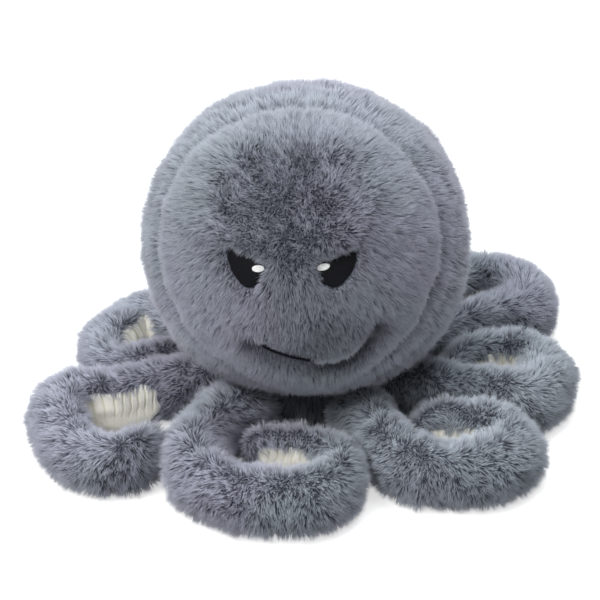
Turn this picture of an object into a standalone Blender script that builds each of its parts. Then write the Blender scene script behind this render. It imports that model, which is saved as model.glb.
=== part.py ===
"""A stuffed plush octopus: a round head over a flat base, and eight furry legs that lie curled on the floor.

Each cover is a shell of fabric and pile round its own filling. A leg's fur is open along the inner
side of its curl, where a strip of ribbed lining closes it, and each leg hinges where it is sewn to
the body. The face looks along -Y, the toy stands on Z = 0, and the origin is under the head's middle.
"""

from math import asin, cos, degrees, pi, radians, sin, sqrt

import bmesh
import bpy
from mathutils import Matrix, Vector

# Head and body
HEAD_RADIUS = 0.1165
HEAD_CENTRE_HEIGHT = 0.129
SHOULDER_HEIGHT = 0.067
UNDERSIDE_HEIGHT = 0.055
BODY_RADIUS = 0.056
NECK_FILLET = 0.014
BASE_THICKNESS = 0.005
HEAD_SECTORS = 30
BALL_ARC_STEPS = 10
SHOULDER_STEPS = 3
NECK_STEPS = 3

# Fabric, seams and filling
PILE_THICKNESS = 0.0080
SEAM_GAP = 0.0006
FILLING_GAP = 0.0004
CUTTER_OVERRUN = 0.010
MERGE_DISTANCE = 0.00001
SHARP_EDGE = radians(50)

# The sewn edge of the face panels lies in one sloping plane, this share of the ball's radius from its middle
FACE_SEAM_SHARE = 0.5562
FACE_SEAM_TILT = radians(25.7)

# Eyes: embroidered patches that sit in places where the pile is cut short
EYE_DEPTH = 0.0042
EYE_THICKNESS = 0.0014
EYE_CLEARANCE = 0.0004
EYE_HALF_LENGTH = 0.0150
EYE_HALF_HEIGHT = 0.0136
EYE_LEFT_PLACE_SHARES = (-0.2678, 0.2936)
EYE_RIGHT_PLACE_SHARES = (0.2472, 0.3193)
EYE_OUTLINE_SHARES = (
    (-0.94, 1.00),
    (0.03, 0.70),
    (1.00, 0.54),
    (0.68, -0.57),
    (-0.07, -0.92),
    (-0.84, -0.07),
)
EYE_ROUNDING_STEPS = 2
CORNER_CUT_SHARE = 0.2
HIGHLIGHT_THICKNESS = 0.0008
HIGHLIGHT_HALF_LENGTH = 0.0042
HIGHLIGHT_HALF_HEIGHT = 0.0021
HIGHLIGHT_INSET = 0.0082
HIGHLIGHT_RISE = 0.0026
HIGHLIGHT_TILT = radians(10)
HIGHLIGHT_CORNERS = 12

# Mouth: a heavy thread laid in a sewn groove
MOUTH_THREAD_RADIUS = 0.0009
MOUTH_GROOVE_RADIUS = 0.0026
MOUTH_GROOVE_DEPTH = 0.0016
MOUTH_STEPS = 2
MOUTH_POINT_SHARES = (
    (-0.2180, -0.1416),
    (-0.1433, -0.1940),
    (-0.0481, -0.2292),
    (0.0592, -0.2601),
    (0.1485, -0.2712),
    (0.2318, -0.2687),
    (0.3047, -0.2481),
    (0.3597, -0.2043),
    (0.4077, -0.1416),
    (0.4421, -0.0601),
)

# Legs: a curl, which each leg lays out at its own angle, with its own reach, breadth and height
LEG_HEIGHT = 0.046
LEG_HALF_WIDTH = 0.0215
CURL_REACH = 0.1026
CURL_HALF_BREADTH_SHARE = 0.3996
ROOT_RUN_SHARE = 0.195
HINGE_GAP = 0.0003
HINGE_LIFT = radians(30)
HINGE_DROOP = radians(-25)
LEG_YAWS = (-5, 50, 89, 128, 169, 212, 258.5, 305)
ROOT_TURNS = (-28, -14, -14, -14, -14, -14, -14, -14)
REACH_SHARES = (1.0, 1.0, 0.960, 1.205, 0.943, 0.943, 0.748, 1.110)
OUTGOING_SHARES = (1.0, 1.0, 0.81, 0.84, 0.89, 1.0, 1.0, 1.20)
RETURNING_SHARES = (1.0, 1.0, 0.78, 0.92, 0.95, 1.0, 0.94, 1.04)
TALLNESS_SHARES = (1.0, 1.0, 1.0, 1.12, 1.0, 1.0, 0.87, 1.0)
# how far out each point of a curl's centre line lies, and how far across
ROUND_CURL_SHARES = (
    (0.36, -0.68), (0.58, -0.76), (0.79, -0.90), (0.94, -0.66), (1.0, 0), (0.95, 0.60),
    (0.82, 0.92), (0.65, 0.88), (0.49, 0.66), (0.37, 0.40), (0.30, 0.14),
)
# leg 1 leaves the body to one side and goes right round in front of it
FRONT_CURL_SHARES = (
    (0.255, -1.292), (0.433, -1.351), (0.633, -1.209), (0.795, -0.806), (0.862, -0.180), (0.838, 0.501),
    (0.712, 1.012), (0.540, 1.194), (0.362, 0.960), (0.267, 0.327), (0.261, -0.360),
)
# leg 2 runs out close beside leg 1 before it turns away
SQUARE_CURL_SHARES = (
    (0.327, -0.831), (0.474, -0.967), (0.657, -0.903), (0.844, -0.589), (0.967, -0.123), (1.007, 0.406),
    (0.926, 0.778), (0.732, 0.847), (0.552, 0.661), (0.419, 0.413), (0.348, 0.169),
)
# leg 8's tip stops short, so its curl stays open
OPEN_CURL_SHARES = (
    (0.36, -0.68), (0.58, -0.76), (0.79, -0.90), (0.94, -0.66), (1.0, 0), (0.98, 0.50),
    (0.91, 0.82), (0.81, 0.96), (0.72, 0.97), (0.65, 0.91), (0.60, 0.82),
)
LEG_CURL_SHARES = (
    FRONT_CURL_SHARES, SQUARE_CURL_SHARES, ROUND_CURL_SHARES, ROUND_CURL_SHARES,
    ROUND_CURL_SHARES, ROUND_CURL_SHARES, ROUND_CURL_SHARES, OPEN_CURL_SHARES,
)
# at the root, at the end of its straight run, then at each point of the curl
WIDTH_SHARES = (0.86, 0.86, 0.88, 0.92, 0.97, 1.0, 1.0, 0.95, 0.85, 0.76, 0.69, 0.62, 0.53)
HEIGHT_SHARES = (1.0, 1.0, 1.0, 1.0, 1.0, 0.98, 0.97, 0.96, 0.95, 0.93, 0.90, 0.86, 0.80)
SPLINE_STEPS = 12
LEG_STATIONS = 18
SECTION_CORNERS = 10
ROOT_DOME_TURNS = (radians(40), radians(80))
TIP_DOME_TURNS = (radians(32), radians(62))

# Lining strip along the inner side of the curl
SLOT_HALF_CORNERS = 1
LINING_RECESS = 0.0010
LINING_THICKNESS = 0.0030

FUR = ("fur", (0.225, 0.245, 0.300), 0.95)
LINING = ("lining", (0.820, 0.780, 0.620), 0.90)
FILLING = ("filling", (0.850, 0.850, 0.830), 1.0)
BLACK_THREAD = ("black_thread", (0.006, 0.006, 0.009), 0.6)
WHITE_THREAD = ("white_thread", (0.860, 0.860, 0.840), 0.5)
BASE_FABRIC = ("base_fabric", (0.150, 0.165, 0.205), 0.95)

BALL_CENTRE = Vector((0, 0, HEAD_CENTRE_HEIGHT))


def clear_scene():
    for obj in list(bpy.data.objects):
        bpy.data.objects.remove(obj)


def make_collection(name):
    collection = bpy.data.collections.new(name)
    bpy.context.scene.collection.children.link(collection)
    return collection


def material(look):
    name, colour, roughness = look
    found = bpy.data.materials.get(name)
    if found:
        return found
    made = bpy.data.materials.new(name)
    made.use_nodes = True
    shader = made.node_tree.nodes["Principled BSDF"]
    shader.inputs["Base Color"].default_value = (*colour, 1)
    shader.inputs["Roughness"].default_value = roughness
    shader.inputs["Metallic"].default_value = 0
    return made


def add_object(name, bm, look, collection):
    """An object from a finished bmesh, with its normals facing out and its round sides shaded smooth."""
    bmesh.ops.recalc_face_normals(bm, faces=bm.faces)
    mesh = bpy.data.meshes.new(name)
    bm.to_mesh(mesh)
    bm.free()
    mesh.shade_smooth()
    mesh.set_sharp_from_angle(angle=SHARP_EDGE)
    obj = bpy.data.objects.new(name, mesh)
    if look:
        mesh.materials.append(material(look))
    collection.objects.link(obj)
    return obj


def as_cutter(obj):
    obj.hide_render = True
    obj.display_type = "WIRE"
    return obj


def add_boolean(obj, operation, other):
    modifier = obj.modifiers.new(f"{operation.lower()} {other.name}", "BOOLEAN")
    modifier.operation = operation
    modifier.solver = "EXACT"
    modifier.object = other


def quadratic_points(start, control, end, steps):
    """The points after start on a quadratic curve to end."""
    points = []
    for i in range(1, steps + 1):
        t = i / steps
        points.append(
            tuple(
                (1 - t) ** 2 * a + 2 * t * (1 - t) * b + t**2 * c
                for a, b, c in zip(start, control, end)
            )
        )
    return points


def head_profile(inset, bottom):
    """(radius, height) down the head's outside, drawn in by inset: ball, shoulder, underside and wall."""
    ball = HEAD_RADIUS - inset
    shoulder = SHOULDER_HEIGHT + inset
    underside = UNDERSIDE_HEIGHT + inset
    wall = BODY_RADIUS - inset
    turn = pi / 2 + asin((HEAD_CENTRE_HEIGHT - shoulder) / ball)
    points = [
        (ball * sin(turn * i / BALL_ARC_STEPS), HEAD_CENTRE_HEIGHT + ball * cos(turn * i / BALL_ARC_STEPS))
        for i in range(BALL_ARC_STEPS + 1)
    ]
    radius, height = points[-1]
    control = (radius + (height - underside) * cos(turn) / sin(turn), underside)
    neck = (wall + NECK_FILLET, underside)
    points += quadratic_points((radius, height), control, neck, SHOULDER_STEPS)
    points += quadratic_points(neck, (wall, underside), (wall, underside - NECK_FILLET), NECK_STEPS)
    points.append((wall, bottom))
    return points


def turned_object(name, profile, look, collection):
    """A solid turned about Z by a Screw modifier. Its profile starts and ends on the axis."""
    bm = bmesh.new()
    verts = [bm.verts.new((r, 0, z)) for r, z in profile]
    for first, second in zip(verts, verts[1:]):
        bm.edges.new((first, second))
    mesh = bpy.data.meshes.new(name)
    bm.to_mesh(mesh)
    bm.free()
    obj = bpy.data.objects.new(name, mesh)
    if look:
        mesh.materials.append(material(look))
    collection.objects.link(obj)
    screw = obj.modifiers.new("turn", "SCREW")
    screw.steps = screw.render_steps = HEAD_SECTORS
    screw.use_merge_vertices = True
    screw.merge_threshold = MERGE_DISTANCE
    screw.use_smooth_shade = True
    return obj


def box_cutter(name, low, high, turn, collection):
    """A box between two corners, turned about X at the ball's middle."""
    bm = bmesh.new()
    bmesh.ops.create_cube(bm, size=1)
    size = Vector(high) - Vector(low)
    middle = (Vector(high) + Vector(low)) / 2
    bmesh.ops.scale(bm, vec=size, verts=bm.verts)
    bmesh.ops.translate(bm, vec=middle, verts=bm.verts)
    bmesh.ops.rotate(bm, cent=(0, 0, 0), matrix=Matrix.Rotation(turn, 3, "X"), verts=bm.verts)
    bmesh.ops.translate(bm, vec=BALL_CENTRE, verts=bm.verts)
    return as_cutter(add_object(name, bm, None, collection))


def head_region_cutters(cutters):
    """Boxes that part the head's cover at its seams: side to side, and face from back."""
    far = HEAD_RADIUS + HEAD_CENTRE_HEIGHT + CUTTER_OVERRUN
    half = SEAM_GAP / 2
    seam = -FACE_SEAM_SHARE * HEAD_RADIUS
    return {
        "left": box_cutter("cut_left", (-far, -far, -far), (-half, far, far), 0, cutters),
        "right": box_cutter("cut_right", (half, -far, -far), (far, far, far), 0, cutters),
        "face": box_cutter("cut_face", (-far, -far, -far), (far, seam - half, far), -FACE_SEAM_TILT, cutters),
        "back": box_cutter("cut_back", (-far, seam + half, -far), (far, far, far), -FACE_SEAM_TILT, cutters),
    }


def smooth_path(points, steps):
    """Points on a Catmull-Rom curve through the given ones, which may have any number of values each."""
    points = [Vector(p) for p in points]
    ends = [2 * points[0] - points[1]] + points + [2 * points[-1] - points[-2]]
    out = []
    for a, b, c, d in zip(ends, ends[1:], ends[2:], ends[3:]):
        for i in range(steps):
            t = i / steps
            bend = 2 * a - 5 * b + 4 * c - d
            twist = 3 * b - a - 3 * c + d
            out.append((2 * b + (c - a) * t + bend * t**2 + twist * t**3) / 2)
    return out + [points[-1]]


def face_place(shares):
    """How far across and up from the ball's middle a place on the face lies. It has shares of the radius."""
    return shares[0] * HEAD_RADIUS, shares[1] * HEAD_RADIUS


def on_ball(across, up, radius):
    """The point of the face at this place, on a ball of this radius about the head's middle."""
    outward = Vector((across, -sqrt(HEAD_RADIUS**2 - across**2 - up**2), up)) / HEAD_RADIUS
    return BALL_CENTRE + outward * radius


def ball_patch(name, outline, inner, outer, look, collection):
    """A closed piece with this outline on the face, between two radii of the ball."""
    bm = bmesh.new()
    verts = [bm.verts.new((across, 0, up)) for across, up in outline]
    bm.faces.new(verts)
    middle = sum((v.co for v in verts), Vector()) / len(verts)
    span = max(v.co.x for v in verts) - min(v.co.x for v in verts)
    for shift in (-span / 4, 0, span / 4):
        for normal in (Vector((1, 0, 0)), Vector((0, 0, 1))):
            geometry = list(bm.verts) + list(bm.edges) + list(bm.faces)
            place = middle + normal * shift
            bmesh.ops.bisect_plane(bm, geom=geometry, dist=MERGE_DISTANCE, plane_co=place, plane_no=normal)
    bmesh.ops.triangulate(bm, faces=bm.faces)
    flat = list(bm.faces)
    raised = bmesh.ops.extrude_face_region(bm, geom=flat, use_keep_orig=True)["geom"]
    top = {element for element in raised if isinstance(element, bmesh.types.BMVert)}
    for vert in bm.verts:
        vert.co = on_ball(vert.co.x, vert.co.z, outer if vert in top else inner)
    return add_object(name, bm, look, collection)


def rounded(outline, rounds):
    """The outline with its corners cut off, so that it reads as sewn and not as a sharp polygon."""
    points = [Vector(p) for p in outline]
    for _ in range(rounds):
        cut = []
        for a, b in zip(points, points[1:] + points[:1]):
            cut += [a.lerp(b, CORNER_CUT_SHARE), a.lerp(b, 1 - CORNER_CUT_SHARE)]
        points = cut
    return [tuple(p) for p in points]


def eye_outline(place, side, margin):
    """An eye's outline on the face, larger by margin. side is 1 where the nose lies towards +X."""
    shares = rounded(EYE_OUTLINE_SHARES, EYE_ROUNDING_STEPS)
    return [
        (place[0] + side * along * (EYE_HALF_LENGTH + margin), place[1] + up * (EYE_HALF_HEIGHT + margin))
        for along, up in shares
    ]


def highlight_outline(place, side):
    tilt = Matrix.Rotation(HIGHLIGHT_TILT, 2)
    middle = Vector((place[0] + side * HIGHLIGHT_INSET, place[1] + HIGHLIGHT_RISE))
    points = []
    for i in range(HIGHLIGHT_CORNERS):
        turn = 2 * pi * i / HIGHLIGHT_CORNERS
        oval = Vector((HIGHLIGHT_HALF_LENGTH * cos(turn), HIGHLIGHT_HALF_HEIGHT * sin(turn)))
        points.append(tuple(middle + tilt @ oval))
    return points


def add_eye(name, place, side, parts, cutters):
    """One eye's patch and its highlight. It returns the cutter for the place where the pile is cut short."""
    floor = HEAD_RADIUS - EYE_DEPTH
    ball_patch(
        f"eye_{name}",
        eye_outline(place, side, 0),
        floor + EYE_CLEARANCE,
        floor + EYE_CLEARANCE + EYE_THICKNESS,
        BLACK_THREAD,
        parts,
    )
    rest = floor + 2 * EYE_CLEARANCE + EYE_THICKNESS
    ball_patch(
        f"eye_highlight_{name}",
        highlight_outline(place, side),
        rest,
        rest + HIGHLIGHT_THICKNESS,
        WHITE_THREAD,
        parts,
    )
    outline = eye_outline(place, side, EYE_CLEARANCE)
    past = HEAD_RADIUS + CUTTER_OVERRUN
    return as_cutter(ball_patch(f"cut_eye_{name}", outline, floor, past, None, cutters))


def mouth_tube(name, radius, sunk, spare, look, collection):
    """A closed tube along the mouth, its middle this far under the head's surface. spare lengthens it."""
    places = smooth_path([face_place(shares) for shares in MOUTH_POINT_SHARES], MOUTH_STEPS)
    points = [on_ball(across, up, HEAD_RADIUS - sunk) for across, up in places]
    points[0] += (points[0] - points[1]).normalized() * spare
    points[-1] += (points[-1] - points[-2]).normalized() * spare
    curve = bpy.data.curves.new(name, "CURVE")
    curve.dimensions = "3D"
    curve.bevel_depth = radius
    curve.bevel_resolution = 1
    curve.use_fill_caps = True
    spline = curve.splines.new("POLY")
    spline.points.add(len(points) - 1)
    for spot, point in zip(spline.points, points):
        spot.co = (*point, 1)
    guide = bpy.data.objects.new(f"{name} guide", curve)
    bpy.context.scene.collection.objects.link(guide)
    graph = bpy.context.evaluated_depsgraph_get()
    mesh = bpy.data.meshes.new_from_object(guide.evaluated_get(graph))
    bm = bmesh.new()
    bm.from_mesh(mesh)
    bmesh.ops.remove_doubles(bm, verts=bm.verts, dist=MERGE_DISTANCE)
    bpy.data.objects.remove(guide)
    return add_object(name, bm, look, collection)


def add_head(parts, cutters):
    """The head's four cover panels with the body's wall below them, the filling, the base and the face."""
    regions = head_region_cutters(cutters)
    eyes = {
        "left": add_eye("left", face_place(EYE_LEFT_PLACE_SHARES), 1, parts, cutters),
        "right": add_eye("right", face_place(EYE_RIGHT_PLACE_SHARES), -1, parts, cutters),
    }
    sunk = MOUTH_GROOVE_DEPTH
    groove = as_cutter(mouth_tube("cut_mouth", MOUTH_GROOVE_RADIUS, sunk, MOUTH_THREAD_RADIUS, None, cutters))
    mouth_tube("mouth_thread", MOUTH_THREAD_RADIUS, sunk, 0, BLACK_THREAD, parts)
    foot = BASE_THICKNESS + SEAM_GAP
    shell = head_profile(0, foot) + head_profile(PILE_THICKNESS, foot)[::-1]
    for side in ("left", "right"):
        for end in ("face", "back"):
            panel = turned_object(f"head_{end}_{side}", shell, FUR, parts)
            add_boolean(panel, "INTERSECT", regions[side])
            add_boolean(panel, "INTERSECT", regions[end])
            if end == "face":
                add_boolean(panel, "DIFFERENCE", eyes[side])
                add_boolean(panel, "DIFFERENCE", groove)
    filling = head_profile(PILE_THICKNESS + FILLING_GAP, foot) + [(0, foot)]
    turned_object("head_filling", filling, FILLING, parts)
    base = [(0, BASE_THICKNESS), (BODY_RADIUS, BASE_THICKNESS), (BODY_RADIUS, 0), (0, 0)]
    turned_object("base_panel", base, BASE_FABRIC, parts)


def half_height(height):
    """Half the height of a leg section's full oval, whose lowest part the floor presses flat."""
    return height / (1 + cos(pi / SECTION_CORNERS))


def hinge_radius():
    """How far from the toy's middle a leg's hinge lies: its rounded root just clears the body's wall."""
    return BODY_RADIUS + HINGE_GAP + half_height(LEG_HEIGHT * HEIGHT_SHARES[0])


def leg_path(root_turn, curl_shares, reach_share, outgoing_share, returning_share, tallness_share):
    """Stations along a leg: (out, across, half width, height), evenly spaced from the hinge to the tip."""
    reach = CURL_REACH * reach_share
    points = []
    for distance in (hinge_radius(), hinge_radius() + CURL_REACH * ROOT_RUN_SHARE):
        points.append((distance * cos(root_turn), distance * sin(root_turn), LEG_HEIGHT))
    for along, across in curl_shares:
        # the two sides spread more, and the height changes more, the further out they lie
        side_share = returning_share if across > 0 else outgoing_share
        spread = 1 + (side_share - 1) * along
        tallness = 1 + (tallness_share - 1) * along
        out = hinge_radius() + reach * along
        points.append((out, CURL_REACH * CURL_HALF_BREADTH_SHARE * spread * across, LEG_HEIGHT * tallness))
    sized = [
        (out, across, LEG_HALF_WIDTH * width_share, height * height_share)
        for (out, across, height), width_share, height_share in zip(points, WIDTH_SHARES, HEIGHT_SHARES)
    ]
    fine = smooth_path(sized, SPLINE_STEPS)
    walked = [0]
    for a, b in zip(fine, fine[1:]):
        walked.append(walked[-1] + (b.xy - a.xy).length)
    stations = []
    for i in range(LEG_STATIONS):
        goal = walked[-1] * i / (LEG_STATIONS - 1)
        k = min(max(j for j, s in enumerate(walked) if s <= goal), len(fine) - 2)
        share = (goal - walked[k]) / (walked[k + 1] - walked[k])
        stations.append(fine[k].lerp(fine[k + 1], share))
    return stations


class Section:
    """One upright cut through a leg: its middle, the direction to the curl's inner side, and its size."""

    def __init__(self, middle, inward, half_width, half_tall):
        self.middle = middle
        self.inward = inward
        self.half_width = half_width
        self.half_tall = half_tall

    def corner(self, turn, inset):
        """The point at this angle round the oval, which is drawn in by inset and stays above the floor."""
        point = self.middle + self.inward * cos(turn) * max(self.half_width - inset, 0)
        point.z = max(point.z + sin(turn) * max(self.half_tall - inset, 0), 0)
        return point


def leg_sections(stations, facing, root_turn):
    """The leg's sections in the toy's frame, from root to tip, and the rounded ends beyond each."""
    turn = Matrix.Rotation(facing, 3, "Z")
    middles = []
    for out, across, _, height in stations:
        middles.append(turn @ Vector((out, across, half_height(height) * cos(pi / SECTION_CORNERS))))
    sections = []
    headings = []
    for i, (_, _, width, height) in enumerate(stations):
        before = middles[max(i - 1, 0)]
        after = middles[min(i + 1, len(middles) - 1)]
        heading = Vector((after.x - before.x, after.y - before.y, 0)).normalized()
        if i == 0:
            heading = Vector((cos(facing + root_turn), sin(facing + root_turn), 0))
        headings.append(heading)
        inward = Vector((-heading.y, heading.x, 0))
        sections.append(Section(middles[i], inward, width, half_height(height)))
    return sections, dome(sections[0], -headings[0], flat_ended=True), dome(sections[-1], headings[-1])


def dome(section, heading, flat_ended=False):
    """Sections that close a leg's end. The root's keep their width, to roll about the hinge like a barrel."""
    length = section.half_tall if flat_ended else section.half_width
    made = []
    for turn in ROOT_DOME_TURNS if flat_ended else TIP_DOME_TURNS:
        width = section.half_width * (1 if flat_ended else cos(turn))
        middle = section.middle + heading * length * sin(turn)
        made.append(Section(middle, section.inward, width, section.half_tall * cos(turn)))
    return made


def corner_turns():
    """The angles of a section's corners: one is straight down, and a flat side faces the curl's inside."""
    return [2 * pi * (k + 0.5) / SECTION_CORNERS for k in range(SECTION_CORNERS)]


def add_ring(bm, section, turns, insets):
    return [bm.verts.new(section.corner(turn, inset)) for turn, inset in zip(turns, insets)]


def bridge(bm, first, second):
    """A band between two closed rings of equal length, each of its quads split along the shorter diagonal."""
    for a, b, c, d in zip(first, first[1:] + first[:1], second[1:] + second[:1], second):
        if (a.co - c.co).length <= (b.co - d.co).length:
            bm.faces.new((a, b, c))
            bm.faces.new((a, c, d))
        else:
            bm.faces.new((a, b, d))
            bm.faces.new((b, c, d))


def fur_mesh(sections, root_dome, tip_dome):
    """A leg's cover: a tube with a slot along the inner side of the curl, and both ends closed."""
    turns = corner_turns()
    cover = range(SLOT_HALF_CORNERS, SECTION_CORNERS - SLOT_HALF_CORNERS)
    bm = bmesh.new()
    outer = []
    inner = []
    for section in sections:
        outer.append({k: bm.verts.new(section.corner(turns[k], 0)) for k in cover})
        inner.append({k: bm.verts.new(section.corner(turns[k], PILE_THICKNESS)) for k in cover})
    rings = [
        [a[k] for k in cover] + [b[k] for k in reversed(cover)]
        for a, b in zip(outer, inner)
    ]
    for first, second in zip(rings, rings[1:]):
        bridge(bm, first, second)
    for end, extra in ((0, root_dome), (-1, tip_dome)):
        for k in range(SECTION_CORNERS):
            if k not in outer[end]:
                outer[end][k] = bm.verts.new(sections[end].corner(turns[k], 0))
        whole = [outer[end][k] for k in range(SECTION_CORNERS)]
        first, last = cover[0], cover[-1]
        slot = [outer[end][k % SECTION_CORNERS] for k in range(last, first + SECTION_CORNERS + 1)]
        bm.faces.new([inner[end][k] for k in cover] + slot)
        for section in extra:
            ring = add_ring(bm, section, turns, [0] * SECTION_CORNERS)
            bridge(bm, whole, ring)
            whole = ring
        bm.faces.new(whole)
    return bm


def tube_mesh(sections, turns, insets):
    """A closed loft through the sections, with one corner for each angle and inset."""
    bm = bmesh.new()
    rings = [add_ring(bm, section, turns, insets) for section in sections]
    for first, second in zip(rings, rings[1:]):
        bridge(bm, first, second)
    bm.faces.new(rings[0])
    bm.faces.new(rings[-1])
    return bm


def drawn_in(sections, gap):
    """The sections with the first and last moved inwards along the leg, clear of the cover's closed ends."""
    moved = list(sections)
    for end, beside in ((0, 1), (-1, -2)):
        step = sections[beside].middle - sections[end].middle
        middle = sections[end].middle + step.normalized() * gap
        moved[end] = Section(middle, sections[end].inward, sections[end].half_width, sections[end].half_tall)
    return moved


def lining_mesh(sections):
    """The ribbed strip that closes the slot, its edges a seam's gap clear of the fur."""
    corners = corner_turns()
    edge = corners[SLOT_HALF_CORNERS]
    least = min(section.half_width for section in sections)
    half = edge - SEAM_GAP / (least - LINING_RECESS - LINING_THICKNESS)
    front = LINING_RECESS
    back = LINING_RECESS + LINING_THICKNESS
    near = corners[:SLOT_HALF_CORNERS]
    across = [-half] + [-turn for turn in near][::-1] + near + [half]
    insets = [front] * len(across) + [back] * len(across)
    return tube_mesh(sections, across + across[::-1], insets)


def filling_mesh(sections):
    """The leg's filling: it fits inside the cover, and swells out to the back of the lining."""
    turns = corner_turns()
    insets = []
    for k in range(SECTION_CORNERS):
        in_slot = k < SLOT_HALF_CORNERS or k >= SECTION_CORNERS - SLOT_HALF_CORNERS
        insets.append((LINING_RECESS + LINING_THICKNESS if in_slot else PILE_THICKNESS) + FILLING_GAP)
    return tube_mesh(sections, turns, insets)


def add_leg(number, yaw, root_turn, shares, parts):
    """One leg, its three pieces carried by an empty on the hinge's axis."""
    facing = radians(yaw) - pi / 2
    stations = leg_path(root_turn, *shares)
    sections, root_dome, tip_dome = leg_sections(stations, facing, root_turn)
    inside = drawn_in(sections, FILLING_GAP)
    name = f"leg_{number}"
    hinge = bpy.data.objects.new(f"{name}_hinge", None)
    hinge.location = sections[0].middle
    hinge.rotation_euler = (0, 0, facing + root_turn)
    parts.objects.link(hinge)
    pieces = (
        ("fur", fur_mesh(sections, root_dome, tip_dome), FUR),
        ("lining", lining_mesh(inside), LINING),
        ("filling", filling_mesh(inside), FILLING),
    )
    bpy.context.view_layer.update()
    for piece, bm, look in pieces:
        obj = add_object(f"{name}_{piece}", bm, look, parts)
        obj.parent = hinge
        obj.matrix_parent_inverse = hinge.matrix_world.inverted()
    place = hinge.matrix_world.translation
    axis = hinge.matrix_world.to_3x3() @ Vector((0, -1, 0))
    print(
        f"{name} hinge at {place.x:.5f} {place.y:.5f} {place.z:.5f}",
        f"axis {axis.x:.5f} {axis.y:.5f} {axis.z:.5f}",
        f"from {degrees(HINGE_DROOP):.0f} to {degrees(HINGE_LIFT):.0f} degrees",
    )


def main():
    clear_scene()
    parts = make_collection("Plush octopus")
    cutters = make_collection("Cutters")
    add_head(parts, cutters)
    shares_of_legs = zip(
        LEG_CURL_SHARES, REACH_SHARES, OUTGOING_SHARES, RETURNING_SHARES, TALLNESS_SHARES
    )
    legs = zip(LEG_YAWS, ROOT_TURNS, shares_of_legs)
    for number, (yaw, root_turn, shares) in enumerate(legs, 1):
        add_leg(number, yaw, radians(root_turn), shares, parts)


main()
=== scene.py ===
"""The plush octopus as it looks: fur over stuffed covers, ribbed linings in the curls, an embroidered face.

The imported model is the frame. Each sewn piece is built here from the same sizes, in its place, and rides
on its body.
"""

from math import atan2, cos, pi, radians, sin

import bpy
import numpy as np
from bpy.props import FloatProperty, FloatVectorProperty, IntProperty, PointerProperty
from mathutils import Matrix, Vector


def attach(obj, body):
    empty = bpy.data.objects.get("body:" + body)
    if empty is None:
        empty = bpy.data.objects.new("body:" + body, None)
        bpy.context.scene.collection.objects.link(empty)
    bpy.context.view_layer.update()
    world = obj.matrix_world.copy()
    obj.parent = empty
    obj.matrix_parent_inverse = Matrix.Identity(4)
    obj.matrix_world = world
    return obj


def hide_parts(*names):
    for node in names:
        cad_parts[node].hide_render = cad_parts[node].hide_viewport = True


bl_info = {
    "name": "Plush octopus",
    "version": (1, 0, 0),
    "blender": (4, 5, 0),
    "location": "View3D > Sidebar > Octopus",
    "description": "Makes the covers, pile, linings, face and stage of a plush octopus",
    "category": "Add Mesh",
}

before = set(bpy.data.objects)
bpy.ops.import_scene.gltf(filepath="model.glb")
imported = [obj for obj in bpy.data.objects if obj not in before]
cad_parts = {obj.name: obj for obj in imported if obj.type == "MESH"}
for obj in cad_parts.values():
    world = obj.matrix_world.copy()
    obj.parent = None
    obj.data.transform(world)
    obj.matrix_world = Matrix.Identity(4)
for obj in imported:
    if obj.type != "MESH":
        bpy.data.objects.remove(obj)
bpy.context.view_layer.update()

# Head and body, in metres
HEAD_RADIUS = 0.1165
HEAD_CENTRE = np.array((0.0, 0.0, 0.129))
HEAD_SECTORS = 240
SHOULDER_HEIGHT = 0.067
UNDERSIDE_HEIGHT = 0.055
BODY_RADIUS = 0.056
NECK_FILLET = 0.014
BASE_THICKNESS = 0.005
HEAD_FOOT = BASE_THICKNESS + 0.0006
TOP_HOLE = 0.0003
FACE_SEAM_DISTANCE = 0.0648
FACE_SEAM_TILT = radians(25.7)
CUT_PILE = 0.0084
# Where the cover starts to swell out above the body's wall, and the height over which it does
SWELL_BOTTOM = 0.050
SWELL_RISE = 0.03
# The forehead's crown, where the pile points forward and from which it is brushed away all round
CROWN = np.array((-0.10, -0.72, 0.69))
FORWARD = np.array((0.08, -0.88, 0.47))
# Painted shade: the head's pile tips a little darker all over than the legs' pile of the same fur
HEAD_SHADED_TONE = 0.95

# Face: places are across and up from the head's middle
EYE_DEPTH = 0.0042
EYE_HALF_LENGTH = 0.0150
EYE_HALF_HEIGHT = 0.0136
EYES = {"left": ((-0.0312, 0.0342), 1), "right": ((0.0288, 0.0372), -1)}
EYE_OUTLINE_SHARES = (
    (-0.94, 1.00), (0.03, 0.70), (1.00, 0.54), (0.68, -0.57), (-0.07, -0.92), (-0.84, -0.07),
)
EYE_HEIGHT = 0.0016
EYE_STITCH_SLANT = radians(62)
STITCH_SIDES = 5
HIGHLIGHT_HALF_LENGTH = 0.0042
HIGHLIGHT_HALF_HEIGHT = 0.0021
HIGHLIGHT_INSET = 0.0082
HIGHLIGHT_RISE = 0.0026
HIGHLIGHT_TILT = radians(10)
HIGHLIGHT_HEIGHT = 0.0009
HIGHLIGHT_LIFT = 0.0018
MOUTH_SUNK = 0.0016
MOUTH_COVERED_SUNK = 0.0010
MOUTH_THREAD_RADIUS = 0.0009
MOUTH_TWIST = 0.0042
MOUTH_PLACES = np.array(
    (
        (-0.0254, -0.0165), (-0.0167, -0.0226), (-0.0056, -0.0267), (0.0069, -0.0303), (0.0173, -0.0316),
        (0.0270, -0.0313), (0.0355, -0.0289), (0.0419, -0.0238), (0.0475, -0.0165), (0.0515, -0.0070),
    )
)
# Rounded rises of the stuffed face: height, middle and half size, across and up
MUZZLE_RISE = (0.0050, (0.010, -0.006), (0.034, 0.020))
CHIN_RISE = (0.0040, (0.014, -0.052), (0.030, 0.012))
BROW_RISE = (0.0022, (0.030, 0.053), (0.020, 0.009))
# Sewn valleys of the head: depth and half width
ARCHED_SEAM = (0.0042, 0.0032)
MIDDLE_SEAM = (0.0030, 0.0034)
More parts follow.
